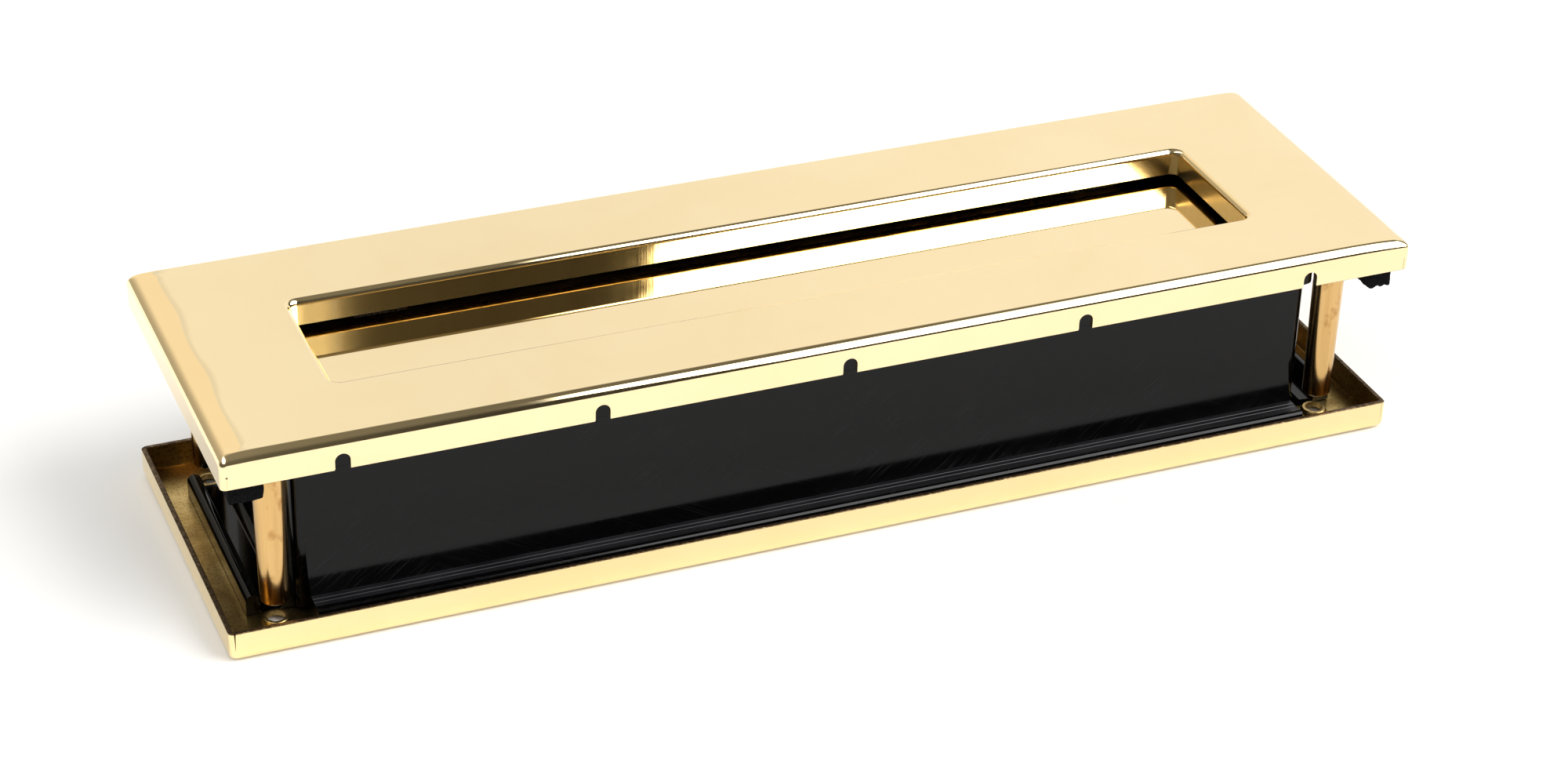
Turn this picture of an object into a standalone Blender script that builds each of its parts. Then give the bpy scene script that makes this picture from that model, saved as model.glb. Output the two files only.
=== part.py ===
"""A brass letter plate for a door: a pressed front plate and a pressed inner frame, joined through the
door by a telescopic black sleeve, with a sprung flap behind each aperture.

It lies on its inner frame. +X runs along the plate, +Y is up when it is fitted, +Z points out of the door.
The origin is the middle of the base. All lengths are in metres.
"""

import math

import bmesh
import bpy

# Pressed brass covers.
PLATE_LENGTH = 0.315
FRONT_WIDTH = 0.094
INNER_WIDTH = 0.090
FRONT_DEPTH = 0.0089
INNER_DEPTH = 0.0080
DOOR_GAP = 0.0415
FRONT_SHEET = 0.0015
INNER_SHEET = 0.0013
CORNER_RADIUS = 0.0014
FRONT_EDGE_RADIUS = 0.0029
INNER_EDGE_RADIUS = 0.0020

# Apertures. The hinge side (+Y) keeps the wider border.
OPENING_LENGTH = 0.247
OPENING_WIDTH = 0.0405
OPENING_CENTRE_Y = -0.00175
OPENING_CORNER_RADIUS = 0.0028
OPENING_EDGE_RADIUS = 0.0016
FRONT_LIP_DEPTH = 0.0073
INNER_LIP_DEPTH = 0.0032

# Drain notches in the lower skirt of the front plate.
NOTCH_COUNT = 5
NOTCH_PITCH = 0.0642
NOTCH_WIDTH = 0.0038
NOTCH_HEIGHT = 0.0044

# Fixing posts and the bolt holes facing them.
POST_X = 0.1430
POST_Y = 0.0327
POST_TOP_RADIUS = 0.0042
POST_FOOT_RADIUS = 0.0037
POST_FOOT_Z = 0.0075
POST_CHAMFER = 0.0003
POST_BORE_RADIUS = 0.0021
POST_BORE_DEPTH = 0.028
BOLT_HOLE_RADIUS = 0.00275

# Telescopic sleeve.
REAR_SLEEVE_HALF_X = 0.1375
REAR_SLEEVE_HALF_Y = 0.0310
REAR_SLEEVE_WALL = 0.0013
SLEEVE_CLEARANCE = 0.0004
FRONT_SLEEVE_WALL = 0.0011
SLEEVE_CORNER_RADIUS = 0.0025
FRONT_SLEEVE_END_Z = 0.0410
FRONT_FLANGE_THICKNESS = 0.0013
FRONT_FLANGE_HALF_Y = 0.0410
FRONT_FLANGE_HALF_X = 0.1445

# Moulded foot of the rear sleeve: a raised flange along each long side, a low tab at each end.
FOOT_HALF_X = 0.1345
FOOT_HALF_Y = 0.0412
FOOT_TOP_Z = 0.0070
FOOT_FILLET = 0.0042
FOOT_GROOVE_DEPTH = 0.0005
RIDGE_RADIUS = 0.0014
RIDGE_CREST_Z = 0.0074
TAB_HALF_X = 0.1494
TAB_HALF_Y = 0.0290
TAB_TOP_Z = 0.0030
TAB_FILLET = 0.0036
BAR_RADIUS = 0.0018
BAR_CREST_Z = 0.0070
LEDGE_LOW_Z = 0.0040
LEDGE_TOP_Z = 0.0053
LEDGE_REACH_Y = 0.0198
LEDGE_HALF_X = 0.1200

# Flaps, hinged along their +Y edges on steel rods.
ROD_RADIUS = 0.0015
BARREL_BORE_RADIUS = 0.0016
BARREL_RADIUS = 0.0026
FLAP_CORNER_RADIUS = 0.0025
STUB_LENGTH = 0.0042
FRONT_FLAP_GAP = 0.0019
FRONT_FLAP_SHEET = 0.0015
FRONT_FLAP_HALF_X = 0.1280
FRONT_FLAP_LOW_Y = -0.0245
FRONT_HINGE_Y = 0.0240
FRONT_BARREL_HALF_X = 0.1260
FRONT_LUG_X = 0.1295
INNER_FLAP_SHEET = 0.0013
INNER_FLAP_GAP = 0.0005
INNER_FLAP_FACE_Z = 0.0024
INNER_BARREL_HALF_X = 0.1200
INNER_LUG_X = 0.1265
PLATE_SETBACK = 0.0030
CORNER_RELIEF = 0.0075
LUG_THICKNESS = 0.0020
LUG_HALF_WIDTH = 0.0036
LUG_BELOW_AXIS = 0.0034
ROD_OVERHANG = 0.0018
CLIP_RADIUS = 0.0029
CLIP_THICKNESS = 0.0008
CLIP_BORE_RADIUS = 0.0016

# Torsion springs, each in a gap of a flap's barrel.
SPRING_GAP_START_X = 0.0920
SPRING_GAP_END_X = 0.1060
SPRING_MEAN_RADIUS = 0.00224
SPRING_WIRE_RADIUS = 0.00033
SPRING_TURNS = 7
SPRING_STEPS_PER_TURN = 12
SPRING_MARGIN = 0.0013
SPRING_LEG = 0.0075
SPRING_STUB_RADIUS = 0.0036

# Foam weather strips under the ends of the front plate.
FOAM_INNER_X = 0.1462
FOAM_OUTER_X = 0.1554
FOAM_HALF_Y = 0.0436
FOAM_BOTTOM_Z = 0.0428
FOAM_POST_RELIEF = 0.0046

# Rubber buffers that set the flap's gap below the front lip.
BUFFER_X = 0.0960
BUFFER_LENGTH = 0.0080
BUFFER_LOW_Y = -0.0243
BUFFER_HIGH_Y = -0.0221

FIT_GAP = 0.0003
CUT_MARGIN = 0.002
CORNER_STEPS = 5
EDGE_STEPS = 4
ROUND_STEPS = 24
SMOOTH_ANGLE = math.radians(40)

# Heights that follow from the dimensions above.
INNER_RIM_Z = INNER_DEPTH
FRONT_RIM_Z = INNER_RIM_Z + DOOR_GAP
TOP_Z = FRONT_RIM_Z + FRONT_DEPTH
PLATE_UNDERSIDE_Z = TOP_Z - FRONT_SHEET
HANG_Z = PLATE_UNDERSIDE_Z - FIT_GAP
FLOOR_Z = INNER_SHEET + FIT_GAP
FRONT_LIP_Z = TOP_Z - FRONT_LIP_DEPTH
FRONT_FLAP_FACE_Z = FRONT_LIP_Z - FRONT_FLAP_GAP
FRONT_HINGE_Z = FRONT_FLAP_FACE_Z - BARREL_RADIUS
OPENING_LOW_Y = OPENING_CENTRE_Y - OPENING_WIDTH / 2
OPENING_HIGH_Y = OPENING_CENTRE_Y + OPENING_WIDTH / 2
INNER_HINGE_Z = INNER_FLAP_FACE_Z + BARREL_RADIUS
INNER_HINGE_Y = OPENING_HIGH_Y - 0.0004 - BARREL_RADIUS


def clear_scene():
    for old in list(bpy.data.objects):
        bpy.data.objects.remove(old, do_unlink=True)


def make_material(name, colour, roughness, metallic):
    """A Principled material, made once for each name."""
    found = bpy.data.materials.get(name)
    if found:
        return found
    made = bpy.data.materials.new(name)
    made.use_nodes = True
    shader = made.node_tree.nodes["Principled BSDF"]
    shader.inputs["Base Color"].default_value = (*colour, 1.0)
    shader.inputs["Roughness"].default_value = roughness
    shader.inputs["Metallic"].default_value = metallic
    return made


def polished_brass():
    return make_material("polished_brass", (0.86, 0.66, 0.33), 0.10, 1.0)


def satin_brass():
    return make_material("satin_brass", (0.80, 0.62, 0.32), 0.28, 1.0)


def post_brass():
    return make_material("post_brass", (0.82, 0.65, 0.37), 0.24, 1.0)


def black_plastic():
    return make_material("black_plastic", (0.012, 0.012, 0.013), 0.18, 0.0)


def black_foam():
    return make_material("black_foam", (0.018, 0.018, 0.020), 0.95, 0.0)


def black_rubber():
    return make_material("black_rubber", (0.02, 0.02, 0.02), 0.70, 0.0)


def rod_steel():
    return make_material("rod_steel", (0.62, 0.62, 0.63), 0.25, 1.0)


def spring_steel():
    return make_material("spring_steel", (0.50, 0.50, 0.52), 0.30, 1.0)


def place(name, bm, material=None):
    """Links a bmesh as an object, with its faces turned outwards and its round faces shaded smooth."""
    bmesh.ops.recalc_face_normals(bm, faces=bm.faces)
    mesh = bpy.data.meshes.new(name)
    bm.to_mesh(mesh)
    bm.free()
    mesh.shade_smooth()
    mesh.set_sharp_from_angle(angle=SMOOTH_ANGLE)
    made = bpy.data.objects.new(name, mesh)
    bpy.context.scene.collection.objects.link(made)
    if material:
        mesh.materials.append(material)
    return made


def combine(node, helper, operation):
    """Adds a Boolean that uses helper on node, and keeps helper out of the renders."""
    helper.hide_render = True
    helper.display_type = "WIRE"
    boolean = node.modifiers.new(helper.name, "BOOLEAN")
    boolean.operation = operation
    boolean.solver = "EXACT"
    boolean.object = helper


def fuse(node, helper):
    combine(node, helper, "UNION")


def cut(node, helper):
    combine(node, helper, "DIFFERENCE")


def turn_origin(node, x, y, z):
    """Moves the object's origin to a joint's axis and leaves its shape where it is."""
    for vertex in node.data.vertices:
        vertex.co.x -= x
        vertex.co.y -= y
        vertex.co.z -= z
    node.location = (x, y, z)


def rounded_rectangle(low_x, high_x, low_y, high_y, radius):
    """Points round a rectangle with arcs at its corners, counter-clockwise from the +X side."""
    centres = (
        (high_x - radius, high_y - radius, 0.0),
        (low_x + radius, high_y - radius, 90.0),
        (low_x + radius, low_y + radius, 180.0),
        (high_x - radius, low_y + radius, 270.0),
    )
    points = []
    for centre_x, centre_y, start in centres:
        for step in range(CORNER_STEPS + 1):
            angle = math.radians(start + 90.0 * step / CORNER_STEPS)
            points.append((centre_x + radius * math.cos(angle), centre_y + radius * math.sin(angle)))
    return points


def circle_points(centre_x, centre_y, radius):
    points = []
    for step in range(ROUND_STEPS):
        angle = 2.0 * math.pi * step / ROUND_STEPS
        points.append((centre_x + radius * math.cos(angle), centre_y + radius * math.sin(angle)))
    return points


def add_ring(bm, points, z):
    return [bm.verts.new((x, y, z)) for x, y in points]


def bridge(bm, first, second):
    """A strip of faces between two rings that have the same number of points."""
    for index, corner in enumerate(first):
        following = (index + 1) % len(first)
        bm.faces.new((corner, first[following], second[following], second[index]))


def loft_closed(bm, levels):
    """Rings joined one to the next, and the last back to the first: a body with a hole through it."""
    rings = [add_ring(bm, points, z) for points, z in levels]
    for index, ring in enumerate(rings):
        bridge(bm, ring, rings[(index + 1) % len(rings)])


def loft_capped(bm, levels):
    """Rings joined one to the next, with a face over the first and the last."""
    rings = [add_ring(bm, points, z) for points, z in levels]
    for ring, following in zip(rings, rings[1:]):
        bridge(bm, ring, following)
    bm.faces.new(rings[0])
    bm.faces.new(rings[-1])


def make_prism(name, points, low_z, high_z, material=None):
    bm = bmesh.new()
    loft_capped(bm, [(points, low_z), (points, high_z)])
    return place(name, bm, material)


def make_box(name, low, high, material=None):
    corners = [(low[0], low[1]), (high[0], low[1]), (high[0], high[1]), (low[0], high[1])]
    return make_prism(name, corners, low[2], high[2], material)


def make_extrusion(name, section, along, start, end, material=None):
    """A closed section pushed along X or Y. Its points are (across, z)."""
    bm = bmesh.new()
    rings = []
    for position in (start, end):
        if along == "X":
            rings.append([bm.verts.new((position, across, z)) for across, z in section])
        else:
            rings.append([bm.verts.new((across, position, z)) for across, z in section])
    bridge(bm, rings[0], rings[1])
    bm.faces.new(rings[0])
    bm.faces.new(rings[1])
    return place(name, bm, material)


def make_rod(name, start_x, end_x, y, z, radius, material=None):
    return make_extrusion(name, circle_points(y, z, radius), "X", start_x, end_x, material)


def frame_outline(half_x, half_y, inset):
    """A pressed cover's outline, moved inwards. Its corner stays a small arc where the edge rolls over."""
    radius = max(CORNER_RADIUS - inset, CORNER_RADIUS / 4)
    return rounded_rectangle(inset - half_x, half_x - inset, inset - half_y, half_y - inset, radius)


def opening_outline(outset):
    half_x = OPENING_LENGTH / 2 + outset
    return rounded_rectangle(
        -half_x, half_x, OPENING_LOW_Y - outset, OPENING_HIGH_Y + outset, OPENING_CORNER_RADIUS + outset
    )


def make_cover(name, width, face_z, rim_z, lip_depth, sheet, edge_radius, material):
    """A sheet cover: a face with a rolled outer edge and a skirt, and an aperture with a drawn-in lip."""
    half_x = PLATE_LENGTH / 2
    half_y = width / 2
    inwards = 1.0 if rim_z > face_z else -1.0
    levels = [(frame_outline(half_x, half_y, 0.0), rim_z)]
    for step in range(EDGE_STEPS + 1):
        angle = math.radians(90.0 * step / EDGE_STEPS)
        inset = edge_radius * (1.0 - math.cos(angle))
        height = face_z + inwards * edge_radius * (1.0 - math.sin(angle))
        levels.append((frame_outline(half_x, half_y, inset), height))
    for step in range(EDGE_STEPS + 1):
        angle = math.radians(90.0 * step / EDGE_STEPS)
        outset = OPENING_EDGE_RADIUS * (1.0 - math.sin(angle))
        height = face_z + inwards * OPENING_EDGE_RADIUS * (1.0 - math.cos(angle))
        levels.append((opening_outline(outset), height))
    levels.append((opening_outline(0.0), face_z + inwards * lip_depth))
    levels.append((opening_outline(sheet), face_z + inwards * lip_depth))
    levels.append((opening_outline(sheet), face_z + inwards * sheet))
    levels.append((frame_outline(half_x, half_y, sheet), face_z + inwards * sheet))
    levels.append((frame_outline(half_x, half_y, sheet), rim_z))
    bm = bmesh.new()
    loft_closed(bm, levels)
    return place(name, bm, material)


def cut_drain_notches(plate):
    """Round-topped notches through the lower skirt, open at the rim."""
    radius = NOTCH_WIDTH / 2
    spring_z = FRONT_RIM_Z + NOTCH_HEIGHT - radius
    for index in range(NOTCH_COUNT):
        centre = (index - (NOTCH_COUNT - 1) / 2) * NOTCH_PITCH
        section = [(centre - radius, FRONT_RIM_Z - CUT_MARGIN), (centre + radius, FRONT_RIM_Z - CUT_MARGIN)]
        for step in range(ROUND_STEPS // 2 + 1):
            angle = 2.0 * math.pi * step / ROUND_STEPS
            section.append((centre + radius * math.cos(angle), spring_z + radius * math.sin(angle)))
        front_face = -FRONT_WIDTH / 2
        start_y = front_face - CUT_MARGIN
        end_y = front_face + FRONT_SHEET + CUT_MARGIN
        cut(plate, make_extrusion(f"notch_cutter_{index + 1}", section, "Y", start_y, end_y))


def build_front_plate():
    plate = make_cover(
        "front_plate",
        FRONT_WIDTH,
        TOP_Z,
        FRONT_RIM_Z,
        FRONT_LIP_DEPTH,
        FRONT_SHEET,
        FRONT_EDGE_RADIUS,
        polished_brass(),
    )
    cut_drain_notches(plate)


def corner_places():
    """The name and the place of each of the four fixing points."""
    for side_y, row in ((-1, "lower"), (1, "upper")):
        for side_x, end in ((-1, "left"), (1, "right")):
            yield f"{row}_{end}", side_x * POST_X, side_y * POST_Y


def build_inner_frame():
    frame = make_cover(
        "inner_frame",
        INNER_WIDTH,
        0.0,
        INNER_RIM_Z,
        INNER_LIP_DEPTH,
        INNER_SHEET,
        INNER_EDGE_RADIUS,
        satin_brass(),
    )
    for corner, x, y in corner_places():
        hole = circle_points(x, y, BOLT_HOLE_RADIUS)
        cut(frame, make_prism(f"bolt_hole_{corner}", hole, -CUT_MARGIN, INNER_SHEET + CUT_MARGIN))


def build_posts():
    """Slightly tapered pillars that hang from the front plate, each with a blind bore for its bolt."""
    for corner, x, y in corner_places():
        foot_rim = POST_FOOT_RADIUS - POST_CHAMFER
        bm = bmesh.new()
        loft_capped(
            bm,
            [
                (circle_points(x, y, POST_TOP_RADIUS), HANG_Z),
                (circle_points(x, y, POST_FOOT_RADIUS), POST_FOOT_Z + POST_CHAMFER),
                (circle_points(x, y, foot_rim), POST_FOOT_Z),
                (circle_points(x, y, POST_BORE_RADIUS), POST_FOOT_Z),
                (circle_points(x, y, POST_BORE_RADIUS), POST_FOOT_Z + POST_BORE_DEPTH),
            ],
        )
        place(f"fixing_post_{corner}", bm, post_brass())


def sleeve_outline(half_x, half_y, corner_radius):
    return rounded_rectangle(-half_x, half_x, -half_y, half_y, corner_radius)


def make_sleeve_tube(name, half_x, half_y, wall, low_z, high_z, material):
    outer = sleeve_outline(half_x, half_y, SLEEVE_CORNER_RADIUS)
    inner = sleeve_outline(half_x - wall, half_y - wall, SLEEVE_CORNER_RADIUS - wall)
    bm = bmesh.new()
    loft_closed(bm, [(outer, low_z), (outer, high_z), (inner, high_z), (inner, low_z)])
    return place(name, bm, material)


def build_front_sleeve():
    """The outer half of the sleeve: a tube with flanges that lie against the front plate."""
    inner_x = REAR_SLEEVE_HALF_X + SLEEVE_CLEARANCE
    inner_y = REAR_SLEEVE_HALF_Y + SLEEVE_CLEARANCE
    outer_x = inner_x + FRONT_SLEEVE_WALL
    outer_y = inner_y + FRONT_SLEEVE_WALL
    sleeve = make_sleeve_tube(
        "front_sleeve", outer_x, outer_y, FRONT_SLEEVE_WALL, FRONT_SLEEVE_END_Z, HANG_Z, black_plastic()
    )
    low_z = HANG_Z - FRONT_FLANGE_THICKNESS
    overlap = FRONT_SLEEVE_WALL / 2
    for side, label in ((-1, "low"), (1, "high")):
        near, far = sorted((side * (outer_y - overlap), side * FRONT_FLANGE_HALF_Y))
        flange = make_box(f"front_flange_{label}", (-FOOT_HALF_X, near, low_z), (FOOT_HALF_X, far, HANG_Z))
        fuse(sleeve, flange)
        near, far = sorted((side * (outer_x - overlap), side * FRONT_FLANGE_HALF_X))
        half_y = TAB_HALF_Y - CUT_MARGIN
        fuse(sleeve, make_box(f"front_tab_{label}", (near, -half_y, low_z), (far, half_y, HANG_Z)))


def arc(centre_across, centre_z, radius, start, end, steps):
    """Points of an arc in a section, from start to end in degrees."""
    points = []
    for step in range(steps + 1):
        angle = math.radians(start + (end - start) * step / steps)
        points.append((centre_across + radius * math.cos(angle), centre_z + radius * math.sin(angle)))
    return points


def foot_section():
    """Half of the long foot, outwards from inside the wall: fillet, flat, groove and half-round ridge."""
    wall = REAR_SLEEVE_HALF_Y
    ridge_centre = FOOT_HALF_Y - RIDGE_RADIUS
    ridge_z = RIDGE_CREST_Z - RIDGE_RADIUS
    root = wall - REAR_SLEEVE_WALL / 2
    section = [(root, FLOOR_Z), (root, FOOT_TOP_Z + FOOT_FILLET)]
    section += arc(wall + FOOT_FILLET, FOOT_TOP_Z + FOOT_FILLET, FOOT_FILLET, 180, 270, 4)
    section.append((ridge_centre - RIDGE_RADIUS, FOOT_TOP_Z - FOOT_GROOVE_DEPTH))
    section += arc(ridge_centre, ridge_z, RIDGE_RADIUS, 150, 0, 5)
    section.append((FOOT_HALF_Y, FLOOR_Z))
    return section


def tab_section():
    """Half of an end tab, outwards from inside the wall: fillet, low flat and round-topped bar."""
    wall = REAR_SLEEVE_HALF_X
    bar_centre = TAB_HALF_X - BAR_RADIUS
    bar_z = BAR_CREST_Z - BAR_RADIUS
    root = wall - REAR_SLEEVE_WALL / 2
    section = [(root, FLOOR_Z), (root, TAB_TOP_Z + TAB_FILLET)]
    section += arc(wall + TAB_FILLET, TAB_TOP_Z + TAB_FILLET, TAB_FILLET, 180, 270, 4)
    section.append((bar_centre - BAR_RADIUS, TAB_TOP_Z))
    section += arc(bar_centre, bar_z, BAR_RADIUS, 180, 0, 6)
    section.append((TAB_HALF_X, FLOOR_Z))
    return section


def mirrored(section):
    return [(-across, z) for across, z in section]


def build_rear_sleeve():
    """The inner half of the sleeve, with its moulded foot and the ledge that stops the inner flap."""
    sleeve = make_sleeve_tube(
        "rear_sleeve",
        REAR_SLEEVE_HALF_X,
        REAR_SLEEVE_HALF_Y,
        REAR_SLEEVE_WALL,
        FLOOR_Z,
        HANG_Z,
        black_plastic(),
    )
    foot = foot_section()
    tab = tab_section()
    fuse(sleeve, make_extrusion("foot_high", foot, "X", -FOOT_HALF_X, FOOT_HALF_X))
    fuse(sleeve, make_extrusion("foot_low", mirrored(foot), "X", -FOOT_HALF_X, FOOT_HALF_X))
    fuse(sleeve, make_extrusion("tab_right", tab, "Y", -TAB_HALF_Y, TAB_HALF_Y))
    fuse(sleeve, make_extrusion("tab_left", mirrored(tab), "Y", -TAB_HALF_Y, TAB_HALF_Y))
    wall_middle = REAR_SLEEVE_HALF_Y - REAR_SLEEVE_WALL / 2
    ledge = make_box(
        "flap_stop_ledge",
        (-LEDGE_HALF_X, -wall_middle, LEDGE_LOW_Z),
        (LEDGE_HALF_X, -LEDGE_REACH_Y, LEDGE_TOP_Z),
    )
    fuse(sleeve, ledge)


def barrel_stretches(half_x):
    """The three lengths of a flap's barrel, with the springs' gaps between them."""
    return (
        (-half_x, -SPRING_GAP_END_X),
        (-SPRING_GAP_START_X, SPRING_GAP_START_X),
        (SPRING_GAP_END_X, half_x),
    )


def make_flap(name, outline, low_z, high_z, hinge_y, hinge_z, barrel_half_x, material):
    """A flat plate whose hinged edge is rolled into a barrel in three lengths."""
    flap = make_prism(name, outline, low_z, high_z, material)
    for index, (start, end) in enumerate(barrel_stretches(barrel_half_x), 1):
        stub = make_box(f"{name}_stub_{index}", (start, hinge_y - STUB_LENGTH, low_z), (end, hinge_y, high_z))
        fuse(flap, stub)
        fuse(flap, make_rod(f"{name}_barrel_{index}", start, end, hinge_y, hinge_z, BARREL_RADIUS))
    bore_end = barrel_half_x + CUT_MARGIN
    cut(flap, make_rod(f"{name}_bore", -bore_end, bore_end, hinge_y, hinge_z, BARREL_BORE_RADIUS))
    turn_origin(flap, 0.0, hinge_y, hinge_z)
    for modifier in flap.modifiers:
        turn_origin(modifier.object, 0.0, hinge_y, hinge_z)
    return flap


def build_front_flap():
    outline = rounded_rectangle(
        -FRONT_FLAP_HALF_X,
        FRONT_FLAP_HALF_X,
        FRONT_FLAP_LOW_Y,
        FRONT_HINGE_Y - PLATE_SETBACK,
        FLAP_CORNER_RADIUS,
    )
    make_flap(
        "front_flap",
        outline,
        FRONT_FLAP_FACE_Z - FRONT_FLAP_SHEET,
        FRONT_FLAP_FACE_Z,
        FRONT_HINGE_Y,
        FRONT_HINGE_Z,
        FRONT_BARREL_HALF_X,
        polished_brass(),
    )


def relieve_hinge_corners(flap):
    """Notches beside the barrel, so that the opened flap clears the aperture's rounded corners."""
    for side, end in ((-1, "left"), (1, "right")):
        low_x, high_x = sorted(
            (side * (INNER_BARREL_HALF_X + FIT_GAP), side * (INNER_BARREL_HALF_X + CORNER_RELIEF))
        )
        notch = make_box(
            f"hinge_corner_relief_{end}",
            (low_x, INNER_HINGE_Y - CORNER_RELIEF, INNER_FLAP_FACE_Z - CUT_MARGIN),
            (high_x, INNER_HINGE_Y, INNER_HINGE_Z),
        )
        turn_origin(notch, 0.0, INNER_HINGE_Y, INNER_HINGE_Z)
        cut(flap, notch)


def build_inner_flap():
    half_x = OPENING_LENGTH / 2 - INNER_FLAP_GAP
    outline = rounded_rectangle(
        -half_x,
        half_x,
        OPENING_LOW_Y + INNER_FLAP_GAP,
        INNER_HINGE_Y - PLATE_SETBACK,
        FLAP_CORNER_RADIUS,
    )
    flap = make_flap(
        "inner_flap",
        outline,
        INNER_FLAP_FACE_Z,
        INNER_FLAP_FACE_Z + INNER_FLAP_SHEET,
        INNER_HINGE_Y,
        INNER_HINGE_Z,
        INNER_BARREL_HALF_X,
        satin_brass(),
    )
    relieve_hinge_corners(flap)


def build_hinge_rod(prefix, lug_x, y, z):
    """The rod through both lugs, and the push-on clip at each end of it."""
    lug_outer = lug_x + LUG_THICKNESS
    rod_end = lug_outer + ROD_OVERHANG
    make_rod(f"{prefix}_hinge_rod", -rod_end, rod_end, y, z, ROD_RADIUS, rod_steel())
    for side, end in ((-1, "left"), (1, "right")):
        low_x, high_x = sorted((side * (lug_outer + FIT_GAP), side * (lug_outer + FIT_GAP + CLIP_THICKNESS)))
        clip = make_rod(f"{prefix}_rod_clip_{end}", low_x, high_x, y, z, CLIP_RADIUS, spring_steel())
        bore = make_rod(
            f"{prefix}_clip_bore_{end}", low_x - CUT_MARGIN, high_x + CUT_MARGIN, y, z, CLIP_BORE_RADIUS
        )
        cut(clip, bore)


def build_lugs(prefix, lug_x, y, z, root_z):
    """A lug at each end of a rod, from the cover's inside at root_z to just past the rod, round at its tip."""
    away = 1.0 if root_z > z else -1.0
    tip = arc(y, z, LUG_HALF_WIDTH, 180.0, 0.0, ROUND_STEPS // 3)
    if away > 0:
        tip = arc(y, z, LUG_HALF_WIDTH, 180.0, 360.0, ROUND_STEPS // 3)
    section = [(y - LUG_HALF_WIDTH, root_z)] + tip + [(y + LUG_HALF_WIDTH, root_z)]
    for side, end in ((-1, "left"), (1, "right")):
        low_x, high_x = sorted((side * lug_x, side * (lug_x + LUG_THICKNESS)))
        lug = make_extrusion(f"{prefix}_hinge_lug_{end}", section, "X", low_x, high_x, satin_brass())
        bore = make_rod(
            f"{prefix}_lug_bore_{end}", low_x - CUT_MARGIN, high_x + CUT_MARGIN, y, z, BARREL_BORE_RADIUS
        )
        cut(lug, bore)


def spring_path(start_x, end_x, leg_angle, turn_sense, leg_tip_z):
    """Points of a torsion spring round the X axis: a leg that bears on the flap, the coil, and a short stub."""
    begin = math.radians(leg_angle)
    total = SPRING_TURNS * SPRING_STEPS_PER_TURN
    coil = []
    for step in range(total + 1):
        angle = begin + turn_sense * 2.0 * math.pi * step / SPRING_STEPS_PER_TURN
        x = start_x + (end_x - start_x) * step / total
        coil.append((x, SPRING_MEAN_RADIUS * math.cos(angle), SPRING_MEAN_RADIUS * math.sin(angle)))
    leg_tip = (start_x, -SPRING_LEG, leg_tip_z)
    stub = (end_x, SPRING_STUB_RADIUS * math.cos(angle), SPRING_STUB_RADIUS * math.sin(angle))
    return [leg_tip] + coil + [stub]


def make_wire(name, points, material):
    """A round wire with flat ends, as a bevelled curve."""
    curve = bpy.data.curves.new(name, "CURVE")
    curve.dimensions = "3D"
    curve.bevel_depth = SPRING_WIRE_RADIUS
    curve.bevel_resolution = 1
    curve.use_fill_caps = True
    spline = curve.splines.new("POLY")
    spline.points.add(len(points) - 1)
    for point, (x, y, z) in zip(spline.points, points):
        point.co = (x, y, z, 1.0)
    curve.materials.append(material)
    made = bpy.data.objects.new(name, curve)
    bpy.context.scene.collection.objects.link(made)
    return made


def build_springs(prefix, y, z, leg_angle, turn_sense, bearing_z):
    """One torsion spring in each gap of the barrel, its leg against the flap's face at bearing_z."""
    low = SPRING_GAP_START_X + SPRING_MARGIN
    high = SPRING_GAP_END_X - SPRING_MARGIN
    clearance = FIT_GAP + SPRING_WIRE_RADIUS
    leg_tip_z = bearing_z - z + (clearance if turn_sense < 0 else -clearance)
    for side, end in ((-1, "left"), (1, "right")):
        path = spring_path(side * low, side * high, leg_angle, turn_sense, leg_tip_z)
        spring = make_wire(f"{prefix}_spring_{end}", path, spring_steel())
        spring.location = (0.0, y, z)


def build_foam_strips():
    """A strip of foam under each end of the plate, relieved where it passes the posts."""
    for side, end in ((-1, "left"), (1, "right")):
        low_x, high_x = sorted((side * FOAM_INNER_X, side * FOAM_OUTER_X))
        strip = make_box(
            f"foam_strip_{end}",
            (low_x, -FOAM_HALF_Y, FOAM_BOTTOM_Z),
            (high_x, FOAM_HALF_Y, HANG_Z),
            black_foam(),
        )
        for row in (-1, 1):
            relief = circle_points(side * POST_X, row * POST_Y, FOAM_POST_RELIEF)
            label = f"post_relief_{end}_{'low' if row < 0 else 'high'}"
            cut(strip, make_prism(label, relief, FOAM_BOTTOM_Z - CUT_MARGIN, HANG_Z + CUT_MARGIN))


def build_buffers():
    """Two rubber pads on the front flap, under the lower lip."""
    for side, end in ((-1, "left"), (1, "right")):
        low_x, high_x = sorted((side * BUFFER_X, side * (BUFFER_X + BUFFER_LENGTH)))
        outline = rounded_rectangle(low_x, high_x, BUFFER_LOW_Y, BUFFER_HIGH_Y, FIT_GAP * 2)
        pad = make_prism(
            f"flap_buffer_{end}", outline, FRONT_FLAP_FACE_Z + FIT_GAP, FRONT_LIP_Z - FIT_GAP, black_rubber()
        )
        turn_origin(pad, 0.0, FRONT_HINGE_Y, FRONT_HINGE_Z)


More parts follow.
